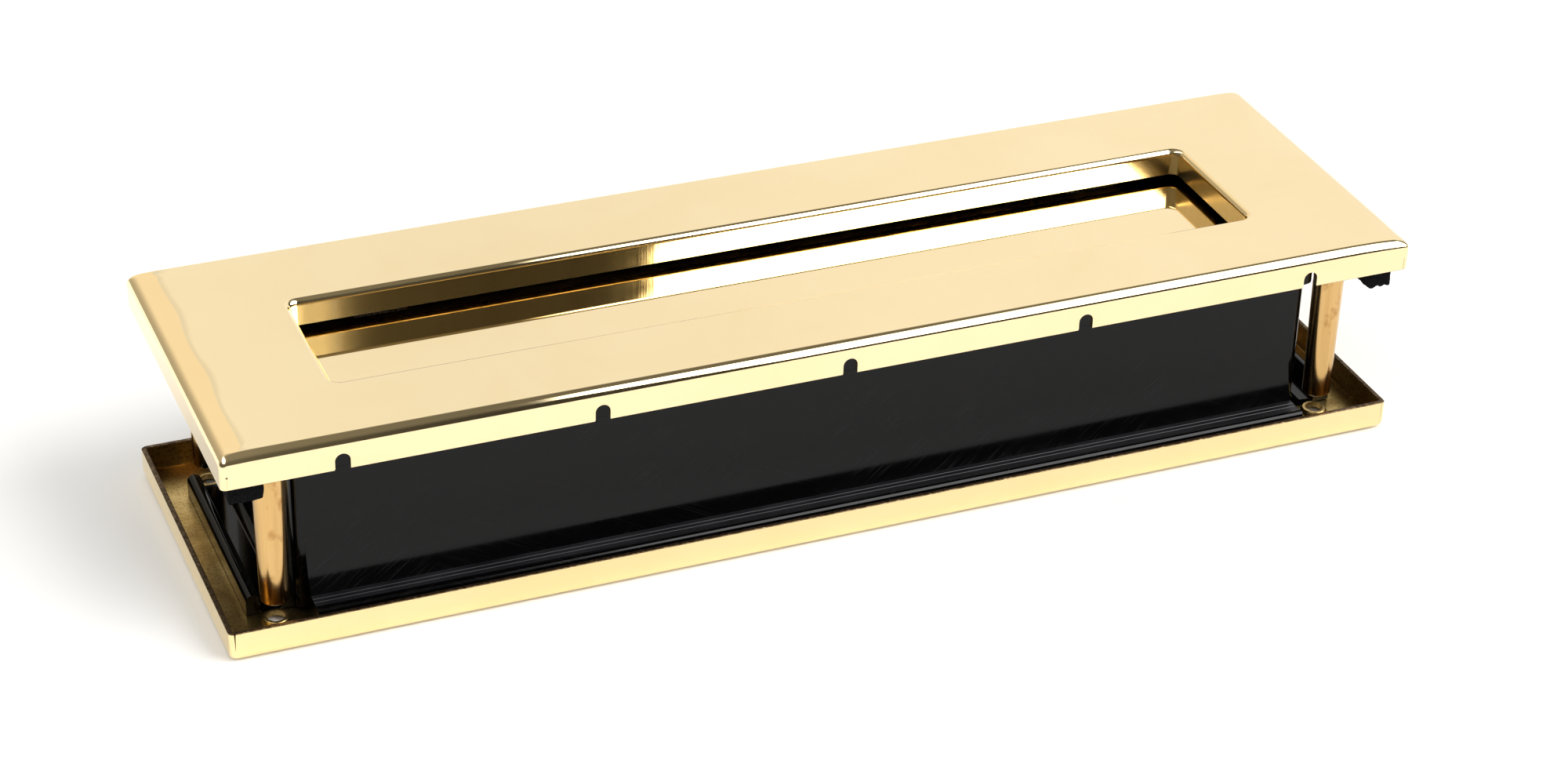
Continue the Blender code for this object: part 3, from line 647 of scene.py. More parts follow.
def cover_levels(half_x, half_y, face_z, rim_z, sheet, edge, lip_depth):
    """The rings of a pressed cover, from the outside of its rim over the face and the lip, and back inside.

    edge is how far the rolled edge reaches in from the ends, in from the sides, and down the skirt.
    """
    towards_rim = 1.0 if rim_z > face_z else -1.0
    edge_x, edge_y, edge_depth = edge

    def outer(inset_x, inset_y, radius):
        return outline(inset_x - half_x, half_x - inset_x, inset_y - half_y, half_y - inset_y, radius)

    def opening(outset):
        return outline(
            -OPENING_HALF_X - outset,
            OPENING_HALF_X + outset,
            OPENING_LOW_Y - outset,
            OPENING_HIGH_Y + outset,
            OPENING_CORNER_RADIUS + outset,
        )

    def height(depth):
        return face_z + towards_rim * depth

    skirt_depth = abs(rim_z - face_z)
    skirt = outer(0.0, 0.0, SKIRT_CORNER_RADIUS)
    bevelled = outer(CUT_EDGE_BEVEL, CUT_EDGE_BEVEL, SKIRT_CORNER_RADIUS)
    levels = [
        (bevelled, rim_z, CUT),
        (skirt, height(skirt_depth - CUT_EDGE_BEVEL), OUTSIDE),
        (skirt, height((skirt_depth + edge_depth) / 2), OUTSIDE),
    ]
    for step in range(EDGE_STEPS + 1):
        angle = math.radians(90.0 * step / EDGE_STEPS)
        share = 1.0 - math.cos(angle)
        radius = SKIRT_CORNER_RADIUS + (FACE_CORNER_RADIUS - SKIRT_CORNER_RADIUS) * share
        points = outer(edge_x * share, edge_y * share, radius)
        levels.append((points, height(edge_depth * (1.0 - math.sin(angle))), OUTSIDE))
    for further in (0.0006, 0.0013, 0.0021, 0.0031, 0.0043, 0.0058, 0.0076):
        levels.append((outer(edge_x + further, edge_y + further, FACE_CORNER_RADIUS), face_z, OUTSIDE))
    last = levels[-1][0]
    for share in (0.25, 0.5, 0.75, 0.92):
        levels.append((blend_points(last, opening(OPENING_EDGE_RADIUS), share), face_z, OUTSIDE))
    for step in range(EDGE_STEPS + 1):
        angle = math.radians(90.0 * step / EDGE_STEPS)
        outset = OPENING_EDGE_RADIUS * (1.0 - math.sin(angle))
        depth = OPENING_EDGE_RADIUS * (1.0 - math.cos(angle))
        levels.append((opening(outset), height(depth), LIP if step == EDGE_STEPS else OUTSIDE))
    levels += [
        (opening(0.0), height((OPENING_EDGE_RADIUS + lip_depth) / 2), LIP),
        (opening(0.0), height(lip_depth - CUT_EDGE_BEVEL), INSIDE),
        (opening(CUT_EDGE_BEVEL), height(lip_depth), INSIDE),
        (opening(sheet), height(lip_depth), INSIDE),
        (opening(sheet), height(sheet + INSIDE_FILLET), INSIDE),
        (opening(sheet + INSIDE_FILLET * 0.3), height(sheet + INSIDE_FILLET * 0.3), INSIDE),
        (opening(sheet + INSIDE_FILLET), height(sheet), INSIDE),
    ]
    flat = outer(sheet + INSIDE_FILLET, sheet + INSIDE_FILLET, INSIDE_FILLET)
    for share in (0.35, 0.7, 1.0):
        levels.append((blend_points(opening(sheet + INSIDE_FILLET), flat, share), height(sheet), INSIDE))
    near = sheet + INSIDE_FILLET * 0.3
    rim_bevel = sheet - CUT_EDGE_BEVEL
    levels += [
        (outer(near, near, INSIDE_FILLET), height(near), INSIDE),
        (outer(sheet, sheet, INSIDE_FILLET), height(sheet + INSIDE_FILLET), INSIDE),
        (outer(sheet, sheet, INSIDE_FILLET), height(skirt_depth - CUT_EDGE_BEVEL), CUT),
        (outer(rim_bevel, rim_bevel, INSIDE_FILLET), rim_z, CUT),
    ]
    return levels


def notch_section(centre, rim_z):
    """A drain notch: round at the top, straight sides, flared where it meets the rim."""
    radius = NOTCH_WIDTH / 2
    below = rim_z - CUTTER_MARGIN
    spring = rim_z + NOTCH_HEIGHT - radius
    small = NOTCH_FLARE * 0.4
    section = [(centre - radius - NOTCH_FLARE, below), (centre + radius + small, below)]
    section += arc(centre + radius + small, rim_z + small, small, 270, 180, 3)
    section += arc(centre, spring, radius, 0, 180, 16)
    section += arc(centre - radius - NOTCH_FLARE, rim_z + NOTCH_FLARE, NOTCH_FLARE, 0, -90, 4)
    return section


def front_plate_cutters(low, rim_z):
    """The drain notches, a relief hole by the lower left corner, and the seams of both lower corners."""
    behind = low.y - CUTTER_MARGIN
    inside = low.y + FRONT_SHEET + CUTTER_MARGIN
    cutters = []
    for index in range(NOTCH_COUNT):
        centre = (index - (NOTCH_COUNT - 1) / 2) * NOTCH_PITCH
        cutters.append(extrude(f"notch_{index}", notch_section(centre, rim_z), "Y", behind, inside, []))
    hole = circle(RELIEF_HOLE_X, RELIEF_HOLE_Z, RELIEF_HOLE_RADIUS, 16)
    cutters.append(extrude("relief_hole", hole, "Y", behind, inside, []))
    for side in (-1, 1):
        centre = side * abs(RELIEF_HOLE_X)
        section_low = (centre - SEAM_WIDTH / 2, behind, rim_z - CUTTER_MARGIN)
        section_high = (centre + SEAM_WIDTH / 2, low.y + SEAM_DEPTH, RELIEF_HOLE_Z)
        cutters.append(box(f"seam_{side}", section_low, section_high, []))
    return cutters


def build_front_plate(looks):
    low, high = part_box("front_plate")
    rim_z, face_z = low.z, high.z
    edge = (FRONT_EDGE_ENDS, FRONT_EDGE_SIDES, FRONT_EDGE_DEPTH)
    bm = loft(cover_levels(high.x, high.y, face_z, rim_z, FRONT_SHEET, edge, FRONT_LIP_DEPTH), closed=True)
    for vertex in bm.verts:
        near_face = max(0.0, 1.0 - (face_z - vertex.co.z) / FRONT_EDGE_DEPTH)
        x, y = vertex.co.x, vertex.co.y
        drop = end_roll(x, y, high.x) + corner_sag(x, y, high.x, high.y) + slow_wave(x, y)
        vertex.co.z -= max(0.0, drop) * near_face
    looks_here = [looks["mirror"], looks["lip"], looks["inside"], looks["cut"]]
    plate = finish_mesh("front_plate_pressed", bm, looks_here)
    combine(plate, front_plate_cutters(low, rim_z), "DIFFERENCE")
    return stand_for(plate, "front_plate", "front_unit")


def bolt_places():
    """The name, x and y of each corner's bolt."""
    for side_y, row in ((-1, "lower"), (1, "upper")):
        for side_x, end in ends():
            yield f"{row}_{end}", side_x * POST_X, side_y * POST_Y


def build_inner_frame(looks):
    """The tray: pressed like the front plate, with raised dimples round its countersunk bolt holes."""
    low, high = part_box("inner_frame")
    edge = (INNER_EDGE, INNER_EDGE, INNER_EDGE)
    levels = cover_levels(high.x, high.y, low.z, high.z, INNER_SHEET, edge, INNER_LIP_DEPTH)
    looks_here = [looks["tray"], looks["lip"], looks["inside"], looks["cut"]]
    tray = finish_mesh("inner_frame_pressed", loft(levels, closed=True), looks_here)
    dimples = []
    holes = []
    for corner, x, y in bolt_places():
        top_z = INNER_SHEET + DIMPLE_HEIGHT
        profile = [
            (INNER_SHEET / 2, DIMPLE_FOOT_RADIUS),
            (INNER_SHEET + DIMPLE_SLOPE, DIMPLE_FOOT_RADIUS),
            (top_z - DIMPLE_EDGE, DIMPLE_TOP_RADIUS + DIMPLE_SLOPE),
            (top_z, DIMPLE_TOP_RADIUS - DIMPLE_SLOPE),
        ]
        dimples.append(turn(f"dimple_{corner}", profile, "Z", (x, y), [looks["inside"]]))
        sink = [(-CUTTER_MARGIN, COUNTERSINK_RADIUS), (0.0, COUNTERSINK_RADIUS)]
        sink += [(COUNTERSINK_DEPTH, BOLT_HOLE_RADIUS), (top_z + CUTTER_MARGIN, BOLT_HOLE_RADIUS)]
        holes.append(turn(f"hole_{corner}", sink, "Z", (x, y), [looks["inside"]]))
    combine(tray, dimples, "UNION")
    seams = []
    for side in (-1, 1):
        centre = side * TRAY_SEAM_X
        half = TRAY_SEAM_TOP_WIDTH / 2 if side < 0 else SEAM_WIDTH / 2
        foot_z = TRAY_SEAM_LOW_Z if side < 0 else SEAM_DEPTH
        over = high.z + CUTTER_MARGIN
        section = [(centre - half, over), (centre + half, over), (centre, foot_z)]
        depth = INNER_SHEET + CUTTER_MARGIN if side < 0 else SEAM_DEPTH
        seams.append(extrude(f"corner_seam_{side}", section, "Y", low.y - CUTTER_MARGIN, low.y + depth, []))
    combine(tray, holes + seams, "DIFFERENCE")
    return stand_for(tray, "inner_frame", "inner_unit")


# ---------------------------------------------------------------- posts, sleeve and foam


def build_posts(looks):
    """Tapered pillars with a chamfered foot and a threaded blind bore."""
    for corner, x, y in bolt_places():
        low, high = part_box(f"fixing_post_{corner}")
        profile = [
            (high.z, POST_TOP_RADIUS - POST_CHAMFER / 2),
            (high.z - POST_CHAMFER / 2, POST_TOP_RADIUS),
            ((high.z + low.z) / 2, (POST_TOP_RADIUS + POST_FOOT_RADIUS) / 2),
            (low.z + POST_CHAMFER, POST_FOOT_RADIUS),
            (low.z, POST_FOOT_RADIUS - POST_CHAMFER),
            (low.z, POST_BORE_RADIUS + THREAD_DEPTH),
        ]
        for step in range(THREAD_TURNS):
            start = low.z + THREAD_DEPTH + step * THREAD_PITCH
            profile.append((start, POST_BORE_RADIUS))
            profile.append((start + THREAD_PITCH / 2, POST_BORE_RADIUS + THREAD_DEPTH))
        end = low.z + THREAD_DEPTH + THREAD_TURNS * THREAD_PITCH
        profile.append((end, POST_BORE_RADIUS))
        profile.append((low.z + POST_BORE_DEPTH, POST_BORE_RADIUS))
        post = turn(f"turned_post_{corner}", profile, "Z", (x, y), [looks["post"]])
        stand_for(post, f"fixing_post_{corner}", "front_unit")


def sleeve_tube(name, half_x, half_y, wall, low_z, high_z, material):
    """A tube with a small radius on the edges of both ends."""
    soft = wall / 4

    def ring(inset):
        radius = max(SLEEVE_CORNER_RADIUS - inset, wall / 2)
        return outline(inset - half_x, half_x - inset, inset - half_y, half_y - inset, radius, 24, 8)

    levels = []
    for inset, z in (
        (soft, low_z),
        (0.0, low_z + soft),
        (0.0, high_z - soft),
        (soft, high_z),
        (wall - soft, high_z),
        (wall, high_z - soft),
        (wall, low_z + soft),
        (wall - soft, low_z),
    ):
        levels.append((ring(inset), z, 0))
    return finish_mesh(name, loft(levels, closed=True), [material])


def foot_section(floor_z):
    """Half of the long foot, outwards from inside the wall: fillet, two flat bands, groove and ridge."""
    root = REAR_WALL_Y - REAR_WALL / 2
    ridge = FOOT_HALF_Y - RIDGE_RADIUS
    ridge_z = RIDGE_CREST_Z - RIDGE_RADIUS
    flare_top_z = FOOT_TOP_Z + FOOT_FLARE_RADIUS * math.sin(math.radians(FOOT_FLARE_DEGREES))
    centre = REAR_WALL_Y + FOOT_FLARE_RADIUS
    flare_end = 180.0 + FOOT_FLARE_DEGREES
    flare = arc(centre, flare_top_z, FOOT_FLARE_RADIUS, 180.0, flare_end, 12)
    flat_start = flare[-1][0]
    section = [(root, floor_z), (root, flare_top_z)] + flare
    section += [
        (flat_start + FIRST_BAND, FOOT_TOP_Z),
        (flat_start + FIRST_BAND + BAND_BEVEL, FOOT_TOP_Z - BAND_STEP),
        (flat_start + SECOND_BAND, FOOT_TOP_Z - BAND_STEP),
        (flat_start + SECOND_BAND + BAND_BEVEL, FOOT_TOP_Z - 2 * BAND_STEP),
        (ridge - RIDGE_RADIUS, FOOT_TOP_Z - 2 * BAND_STEP),
        (ridge - RIDGE_RADIUS * 0.95, FOOT_TOP_Z - 5 * BAND_STEP),
    ]
    section += arc(ridge, ridge_z, RIDGE_RADIUS, 158, 0, 14)
    section.append((FOOT_HALF_Y, floor_z))
    return section


def tab_section(floor_z):
    """Half of an end tab, outwards from inside the wall: fillet, low flat and round-topped bar."""
    root = REAR_WALL_X - REAR_WALL / 2
    bar = TAB_HALF_X - BAR_RADIUS
    section = [(root, floor_z), (root, TAB_TOP_Z + TAB_FILLET)]
    section += arc(REAR_WALL_X + TAB_FILLET, TAB_TOP_Z + TAB_FILLET, TAB_FILLET, 180, 270, 8)
    section.append((bar - BAR_RADIUS, TAB_TOP_Z))
    section += arc(bar, BAR_CREST_Z - BAR_RADIUS, BAR_RADIUS, 180, 0, 14)
    section.append((TAB_HALF_X, floor_z))
    return section


def rub_flats(piece, low_y, high_y, index):
    """Gives the flat bands between two distances from the middle another material."""
    for face in piece.data.polygons:
        if low_y < abs(face.center.y) < high_y and abs(face.normal.z) > 0.5:
            face.material_index = index


def mirrored(section):
    """The same section on the other side of the middle."""
    return [(-across, z) for across, z in section]


def build_rear_sleeve(looks):
    """The inner half of the sleeve, with its moulded foot and the ledge that stops the inner flap."""
    low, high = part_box("rear_sleeve")
    sleeve = sleeve_tube(
        "rear_sleeve_moulded", REAR_WALL_X, REAR_WALL_Y, REAR_WALL, low.z, high.z, looks["plastic"]
    )
    both = [looks["plastic"], looks["satin"]]
    foot = foot_section(low.z)
    tab = tab_section(low.z)
    middle = REAR_WALL_Y - REAR_WALL / 2
    ledge_low = (-LEDGE_HALF_X, -middle, LEDGE_LOW_Z)
    ledge_high = (LEDGE_HALF_X, -LEDGE_REACH_Y, LEDGE_TOP_Z)
    ledge = box("flap_stop_ledge", ledge_low, ledge_high, [looks["satin"]])
    bevel_edges(ledge, CUT_EDGE_BEVEL)
    foot_high = extrude("foot_high", foot, "X", -FOOT_HALF_X, FOOT_HALF_X, both)
    foot_low = extrude("foot_low", mirrored(foot), "X", -FOOT_HALF_X, FOOT_HALF_X, both)
    for made in (foot_high, foot_low):
        rub_flats(made, REAR_WALL_Y + RUBBED_FROM, FOOT_HALF_Y - 2 * RIDGE_RADIUS, 1)
    parts = [
        foot_high,
        foot_low,
        extrude("tab_right", tab, "Y", -TAB_HALF_Y, TAB_HALF_Y, [looks["plastic"]]),
        extrude("tab_left", mirrored(tab), "Y", -TAB_HALF_Y, TAB_HALF_Y, [looks["plastic"]]),
        ledge,
    ]
    combine(sleeve, parts, "UNION", 28.0)
    return stand_for(sleeve, "rear_sleeve", "inner_unit")


def build_front_sleeve(looks):
    """The outer half of the sleeve: a short tube with flanges that lie against the front plate."""
    low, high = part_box("front_sleeve")
    sleeve = sleeve_tube(
        "front_sleeve_moulded", FRONT_WALL_X, FRONT_WALL_Y, FRONT_WALL, low.z, high.z, looks["plastic"]
    )
    flange_z = high.z - FRONT_FLANGE
    overlap = FRONT_WALL / 2
    parts = []
    for side in (-1, 1):
        near, far = sorted((side * (FRONT_WALL_Y - overlap), side * high.y))
        low_corner = (-FOOT_HALF_X, near, flange_z)
        flange = box(f"flange_{side}", low_corner, (FOOT_HALF_X, far, high.z), [looks["satin"]])
        near, far = sorted((side * (FRONT_WALL_X - overlap), side * high.x))
        half_y = TAB_HALF_Y - END_FLANGE_INSET
        tab = box(f"end_flange_{side}", (near, -half_y, flange_z), (far, half_y, high.z), [looks["satin"]])
        for made in (flange, tab):
            bevel_edges(made, CUT_EDGE_BEVEL)
        parts += [flange, tab]
    combine(sleeve, parts, "UNION", 28.0)
    return stand_for(sleeve, "front_sleeve", "front_unit")


def build_foam_strips(looks):
    """Soft strips cut by hand from foam: rough faces, ragged along the bottom, cut round the posts."""
    for side, end in ends():
        low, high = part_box(f"foam_strip_{end}")
        across, up = FOAM_CHAMFER_RIGHT if side > 0 else FOAM_CHAMFER_LEFT
        inner, outer = (low.x, high.x) if side > 0 else (high.x, low.x)
        soft = FOAM_ROUGHNESS
        section = [
            (inner + side * (soft + across), low.z + soft),
            (outer - side * soft, low.z + soft),
            (outer - side * soft, high.z - soft),
            (inner + side * soft, high.z - soft),
            (inner + side * soft, low.z + soft + up),
        ]
        strip = extrude(f"foam_cut_{end}", section, "Y", low.y + soft, high.y - soft, [looks["foam"]])
        reliefs = []
        for row in (-1, 1):
            hole = circle(side * POST_X, row * POST_Y, FOAM_POST_RELIEF)
            below, above = low.z - CUTTER_MARGIN, high.z + CUTTER_MARGIN
            reliefs.append(extrude(f"relief_{end}_{row}", hole, "Z", below, above, []))
        combine(strip, reliefs, "DIFFERENCE")
        strip.modifiers.clear()
        remesh = strip.modifiers.new("remesh", "REMESH")
        remesh.mode = "VOXEL"
        remesh.voxel_size = FOAM_VOXEL
        bake_modifiers(strip)
        for vertex in strip.data.vertices:
            place = vertex.co.copy()
            rough = noise.noise(place * FOAM_GRAIN) * FOAM_ROUGHNESS
            vertex.co += vertex.normal * min(rough, FOAM_ROUGHNESS * 0.5)
            if place.z < low.z + FOAM_TEAR_HEIGHT:
                tear = noise.noise(Vector((place.x * FOAM_TEARS[0], place.y * FOAM_TEARS[1], side)))
                vertex.co.z += abs(tear) * FOAM_RAGGED
        shade(strip, 60.0)
        stand_for(strip, f"foam_strip_{end}", "front_unit")


# ---------------------------------------------------------------- flaps and hinges


def flap_plate(name, half_x, low_y, high_y, low_z, high_z, material):
    """A flat sheet with round corners and its edges taken off."""
    soft = FLAP_EDGE_BEVEL

    def ring(inset):
        radius = FLAP_CORNER_RADIUS - inset
        return outline(inset - half_x, half_x - inset, low_y + inset, high_y - inset, radius, 24, 8)

    levels = [(ring(soft), low_z, 0), (ring(0.0), low_z + soft, 0), (ring(0.0), high_z - soft, 0)]
    levels.append((ring(soft), high_z, 0))
    return finish_mesh(name, loft(levels, closed=False), [material])


def curl_section(hinge, face_up, sheet):
    """The sheet's end curled round the rod: from the flat round the outside, and back along the bore."""
    y, z = hinge
    section = [(-CURL_START, BARREL_RADIUS)]
    section += arc(0.0, 0.0, BARREL_RADIUS, 90.0, CURL_END_DEGREES, CURL_STEPS)
    section += arc(0.0, 0.0, BARREL_BORE, CURL_END_DEGREES, 120.0, CURL_STEPS)
    section.append((-CURL_START, BARREL_RADIUS - sheet))
    return [(y + across, z + (up if face_up else -up)) for across, up in section]


def build_flap(name, node, size, hinge, barrel_x, face_up, body, material):
    """A sheet whose hinged edge is curled in three lengths, with the springs' gaps between them."""
    half_x, low_y, high_y, low_z, high_z = size
    flap = flap_plate(name, half_x, low_y, high_y, low_z, high_z, material)
    section = curl_section(hinge, face_up, high_z - low_z)
    gap_start, gap_end = SPRING_GAP
    stretches = ((-barrel_x, -gap_end), (-gap_start, gap_start), (gap_end, barrel_x))
    curls = [
        extrude(f"{name}_curl_{index}", section, "X", start, end, [material])
        for index, (start, end) in enumerate(stretches)
    ]
    combine(flap, curls, "UNION", 30.0)
    if not face_up:
        notches = []
        for side in (-1, 1):
            near, far = sorted((side * (barrel_x + BARREL_CLEARANCE), side * (barrel_x + CORNER_RELIEF)))
            low = (near, hinge[0] - CORNER_RELIEF, low_z - CUTTER_MARGIN)
            notches.append(box(f"{name}_relief_{side}", low, (far, hinge[0], hinge[1]), []))
        combine(flap, notches, "DIFFERENCE", 30.0)
    return stand_for(flap, node, body)


def build_rod(prefix, hinge, body, looks):
    """A plain rod with chamfered ends."""
    low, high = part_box(f"{prefix}_hinge_rod")
    profile = [
        (low.x, ROD_RADIUS - ROD_CHAMFER),
        (low.x + ROD_CHAMFER, ROD_RADIUS),
        (high.x - ROD_CHAMFER, ROD_RADIUS),
        (high.x, ROD_RADIUS - ROD_CHAMFER),
    ]
    rod = turn(f"{prefix}_rod_drawn", profile, "X", hinge, [looks["rod"]], steps=32)
    stand_for(rod, f"{prefix}_hinge_rod", body)


def build_clips(prefix, hinge, body, looks):
    """Push-on star washers: a dished disc with slits that make its teeth."""
    for side, end in ends():
        low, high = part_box(f"{prefix}_rod_clip_{end}")
        near, far = (low.x, high.x) if side > 0 else (high.x, low.x)
        thin = (far - near) * CLIP_SHEET_SHARE
        profile = [
            (near, CLIP_RADIUS - CLIP_EDGE),
            (near, CLIP_RADIUS - CLIP_RIM),
            (far - thin, CLIP_BORE),
            (far, CLIP_BORE),
            (near + thin, CLIP_RADIUS - CLIP_RIM + 2 * CLIP_EDGE),
            (near + thin, CLIP_RADIUS),
            (near + thin * 0.3, CLIP_RADIUS),
        ]
        name = f"{prefix}_star_clip_{end}"
        clip = turn(name, profile, "X", hinge, [looks["spring"]], closed=True, steps=36)
        slits = []
        for tooth in range(CLIP_TEETH // 2):
            slit_low = (low.x - CUTTER_MARGIN, -CLIP_SLIT_REACH, -CLIP_SLIT_WIDTH / 2)
            slit_high = (high.x + CUTTER_MARGIN, CLIP_SLIT_REACH, CLIP_SLIT_WIDTH / 2)
            slit = box(f"slit_{tooth}", slit_low, slit_high, [])
            slit.data.transform(Matrix.Rotation(math.pi * tooth / (CLIP_TEETH // 2), 4, "X"))
            slit.data.transform(Matrix.Translation((0.0, hinge[0], hinge[1])))
            slits.append(slit)
        combine(clip, slits, "DIFFERENCE")
        stand_for(clip, f"{prefix}_rod_clip_{end}", body)


def build_lugs(prefix, looks):
    """The CAD lugs are right as they are, but for their finish."""
    for _, end in ends():
        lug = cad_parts[f"{prefix}_hinge_lug_{end}"]
        lug.data.materials.clear()
        lug.data.materials.append(looks["lug"])


def spring_path(start_x, end_x, leg_angle, sense, leg_tip_z):
    """The middle line of a torsion spring round X: a leg on the flap, the coil, and a short tail."""
    begin = math.radians(leg_angle)
    total = SPRING_TURNS * SPRING_STEPS_PER_TURN
    points = [(start_x, -SPRING_LEG, leg_tip_z)]
    for step in range(total + 1):
        angle = begin + sense * 2.0 * math.pi * step / SPRING_STEPS_PER_TURN
        x = start_x + (end_x - start_x) * step / total
        points.append((x, SPRING_MEAN_RADIUS * math.cos(angle), SPRING_MEAN_RADIUS * math.sin(angle)))
    points.append((end_x, SPRING_STUB_RADIUS * math.cos(angle), SPRING_STUB_RADIUS * math.sin(angle)))
    return points


def wire(name, points, radius, material):
    """A round wire through the points."""
    curve = bpy.data.curves.new(name, "CURVE")
    curve.dimensions = "3D"
    curve.bevel_depth = radius
    curve.bevel_resolution = 2
    curve.use_fill_caps = True
    spline = curve.splines.new("POLY")
    spline.points.add(len(points) - 1)
    for point, place in zip(spline.points, points):
        point.co = (*place, 1.0)
    helper = bpy.data.objects.new(name, curve)
    bpy.context.scene.collection.objects.link(helper)
    bpy.context.view_layer.update()
    graph = bpy.context.evaluated_depsgraph_get()
    mesh = bpy.data.meshes.new_from_object(helper.evaluated_get(graph))
    bpy.data.objects.remove(helper, do_unlink=True)
    made = bpy.data.objects.new(name, mesh)
    bpy.context.scene.collection.objects.link(made)
    mesh.materials.clear()
    mesh.materials.append(material)
    shade(made, 50.0)
    return made


def build_springs(prefix, hinge, leg_angle, sense, bearing_z, body, looks):
    """Torsion springs in the gaps of the barrel, their legs against the flap's face at bearing_z."""
    gap_start, gap_end = SPRING_GAP
    clearance = BARREL_CLEARANCE + SPRING_WIRE_RADIUS
    leg_tip_z = bearing_z - hinge[1] - sense * clearance
    for side, end in ends():
        start = side * (gap_start + SPRING_MARGIN)
        stop = side * (gap_end - SPRING_MARGIN)
        points = spring_path(start, stop, leg_angle, sense, leg_tip_z)
        placed = [(x, y + hinge[0], z + hinge[1]) for x, y, z in points]
        spring = wire(f"{prefix}_coil_{end}", placed, SPRING_WIRE_RADIUS, looks["spring"])
        stand_for(spring, f"{prefix}_spring_{end}", body)


def build_buffers(looks):
    """Small rubber pads with rounded edges."""
    for _, end in ends():
        low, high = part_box(f"flap_buffer_{end}")
        pad = box(f"rubber_buffer_{end}", tuple(low), tuple(high), [looks["rubber"]])
        bevel_edges(pad, BUFFER_BEVEL, 3)
        stand_for(pad, f"flap_buffer_{end}", "front_flap")


# ---------------------------------------------------------------- scene


def build_floor():
    """A white table under the part."""
    bm = bmesh.new()
    half = FLOOR_HALF
    corners = ((-half, -half, 0.0), (half, -half, 0.0), (half, half, 0.0), (-half, half, 0.0))
    bm.faces.new([bm.verts.new(corner) for corner in corners])
    shader = Shader("white_table", Roughness=0.9)
    stops = [(0.3, (0.90, 0.895, 0.885)), (0.7, (0.92, 0.915, 0.905))]
    mottle = shader.ramp(shader.noise(3.0, detail=2.0), stops)
    shader.feed(shader.surface.inputs["Base Color"], mottle)
    floor = finish_mesh("table_top", bm, [shader.material])
    floor.location.z = -FLOOR_DROP


def build_camera():
    """A long lens, turned to the right from +Y, tilted down and rolled a little."""
    data = bpy.data.cameras.new("camera")
    data.lens = CAMERA_LENS
    data.sensor_width = CAMERA_SENSOR
    data.sensor_fit = "HORIZONTAL"
    data.clip_start = 0.01
    camera = bpy.data.objects.new("camera", data)
    yaw = Matrix.Rotation(-CAMERA_YAW, 4, "Z")
    tilt = Matrix.Rotation(math.pi / 2 - CAMERA_PITCH, 4, "X")
    roll = Matrix.Rotation(CAMERA_ROLL, 4, "Z")
    camera.matrix_world = Matrix.Translation(CAMERA_PLACE) @ yaw @ tilt @ roll
    bpy.context.scene.collection.objects.link(camera)
    bpy.context.scene.camera = camera


class Studio(NodeTree):
    """The world: how bright and what colour the room is in each direction."""

    def __init__(self):
        bpy.context.scene.world = bpy.data.worlds.new("studio")
        super().__init__(bpy.context.scene.world)
        direction = self.add("TexCoord").outputs["Generated"]
        self.x, self.y, self.z = self.add("SeparateXYZ", {0: direction}).outputs

    def step(self, value, low, high):
        """0 below low, 1 above high, smooth between. With low above high it falls instead."""
        inputs = {"Value": value, "From Min": low, "From Max": high}
        return self.add("MapRange", inputs, interpolation_type="SMOOTHSTEP").outputs["Result"]

    def product(self, *values):
        result = values[0]
        for value in values[1:]:
            result = self.math("MULTIPLY", result, value)
        return result

    def total(self, *values):
        result = values[0]
        for value in values[1:]:
            result = self.math("ADD", result, value)
        return result

    def lit(self, *lights):
        """The sum of (brightness, colour) lights."""
        result = (0.0, 0.0, 0.0)
        for brightness, colour in lights:
            inputs = {0: colour, 1: brightness, 2: result}
            result = self.add("VectorMath", inputs, operation="MULTIPLY_ADD").outputs[0]
        return result


def build_world():
    """A dim warm room with a bright backdrop, a softbox at the front right and a light high at the left."""
    studio = Studio()
    x, y, z = studio.x, studio.y, studio.z
    step, product, total = studio.step, studio.product, studio.total
    behind = product(step(y, *BACKDROP_Y), step(z, *BACKDROP_Z))
    past_edge = step(x, *BACKDROP_X)
    before_edge = studio.math("SUBTRACT", 1.0, past_edge)
    shade = product(step(x, *BACKDROP_SHADE_X), BACKDROP_SHADE)
    rise = product(step(x, *BACKDROP_RISE_X), BACKDROP_RISE)
    unshaded = studio.math("SUBTRACT", 1.0, shade)
    backdrop = product(behind, past_edge, unshaded, total(rise, BACKDROP_LIGHT))
    side_rise = product(step(x, *WARM_SIDE_X), WARM_SIDE_RISE)
    warm_side = product(behind, before_edge, total(side_rise, WARM_SIDE_LEAST), WARM_SIDE_LIGHT)
    beside = total(x, product(y, SOFTBOX_SLANT))
    softbox = product(
        step(beside, *SOFTBOX_BESIDE),
        step(x, *SOFTBOX_X),
        step(y, *SOFTBOX_Y),
        step(z, *SOFTBOX_LOW_Z),
        step(z, *SOFTBOX_HIGH_Z),
        SOFTBOX_LIGHT,
    )
    top = product(step(x, *TOP_LIGHT_X), step(z, *TOP_LIGHT_Z), TOP_LIGHT)
    room = total(
        ROOM_LIGHT,
        product(step(z, *ROOM_HIGH_Z), ROOM_HIGH_LIGHT),
        product(step(x, *ROOM_LEFT_X), ROOM_LEFT_LIGHT),
    )
    light = studio.lit(
        (backdrop, (1.0, 0.995, 0.985)),
        (warm_side, (1.06, 0.96, 0.80)),
        (softbox, (1.0, 1.0, 1.0)),
        (top, (1.0, 0.99, 0.97)),
        (room, (1.0, 0.94, 0.78)),
    )
    path = studio.add("LightPath").outputs
    filled = studio.mix(path["Is Diffuse Ray"], light, FILL_LIGHT)
    seen = studio.mix(path["Is Camera Ray"], filled, PLAIN_BACKGROUND)
    studio.feed(studio.nodes["Background"].inputs["Color"], seen)


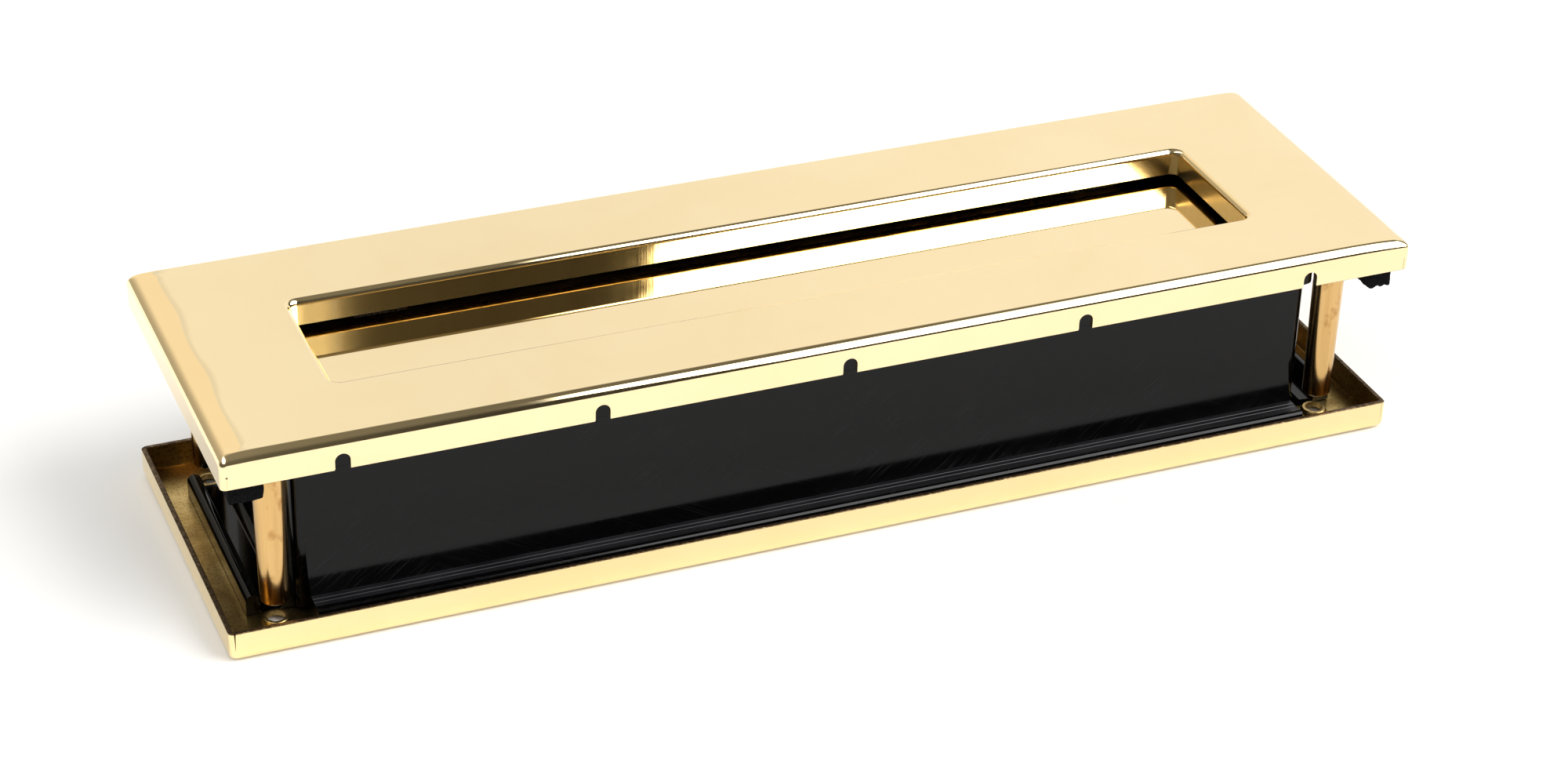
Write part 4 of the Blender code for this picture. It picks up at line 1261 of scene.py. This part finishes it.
def add_lamp(name, place, size, power):
    """A square lamp that faces the origin and lights the table, and isn't seen in the brass."""
    data = bpy.data.lights.new(name, "AREA")
    data.shape = "SQUARE"
    data.size = size
    data.energy = power
    lamp = bpy.data.objects.new(name, data)
    lamp.location = place
    lamp.rotation_euler = (-Vector(place)).to_track_quat("-Z", "Y").to_euler()
    lamp.visible_glossy = False
    bpy.context.scene.collection.objects.link(lamp)


def make_looks():
    """Every material, by the name that the pieces ask for."""
    return {
        "mirror": polished_brass("polished_brass_mirror"),
        "tray": polished_brass("polished_brass_tray", (0.04, 0.09), 0.90),
        "lip": lip_brass(),
        "inside": dull_brass("dull_brass_inside"),
        "lug": dull_brass("dull_brass_lug", 1.1),
        "cut": cut_brass(),
        "post": turned_brass(),
        "plastic": gloss_plastic(),
        "satin": satin_plastic(),
        "foam": cell_foam(),
        "rubber": matt_rubber(),
        "rod": drawn_steel("plated_rod", (0.42, 0.42, 0.43), (0.70, 0.70, 0.72)),
        "spring": drawn_steel("spring_wire", (0.22, 0.22, 0.24), (0.50, 0.50, 0.53)),
    }


def build_object(looks):
    build_front_plate(looks)
    build_inner_frame(looks)
    build_posts(looks)
    build_rear_sleeve(looks)
    build_front_sleeve(looks)
    build_foam_strips(looks)
    build_flap(
        "front_flap_sheet", "front_flap", FRONT_FLAP_BOX, FRONT_HINGE, FRONT_BARREL_X, True,
        "front_flap", looks["mirror"],
    )
    build_flap(
        "inner_flap_sheet", "inner_flap", INNER_FLAP_BOX, INNER_HINGE, INNER_BARREL_X, False,
        "inner_flap", looks["inside"],
    )
    for prefix, hinge, body in (("front", FRONT_HINGE, "front_unit"), ("inner", INNER_HINGE, "inner_unit")):
        build_rod(prefix, hinge, body, looks)
        build_clips(prefix, hinge, body, looks)
        build_lugs(prefix, looks)
    build_springs("front", FRONT_HINGE, 270.0, 1.0, FRONT_FLAP_BOX[3], "front_flap", looks)
    build_springs("inner", INNER_HINGE, 90.0, -1.0, INNER_FLAP_BOX[4], "inner_flap", looks)
    build_buffers(looks)


build_object(make_looks())
build_floor()
build_camera()
build_world()
add_lamp("overhead", **OVERHEAD_LAMP)
add_lamp("side", **SIDE_LAMP)
bpy.context.scene.view_settings.view_transform = "Standard"
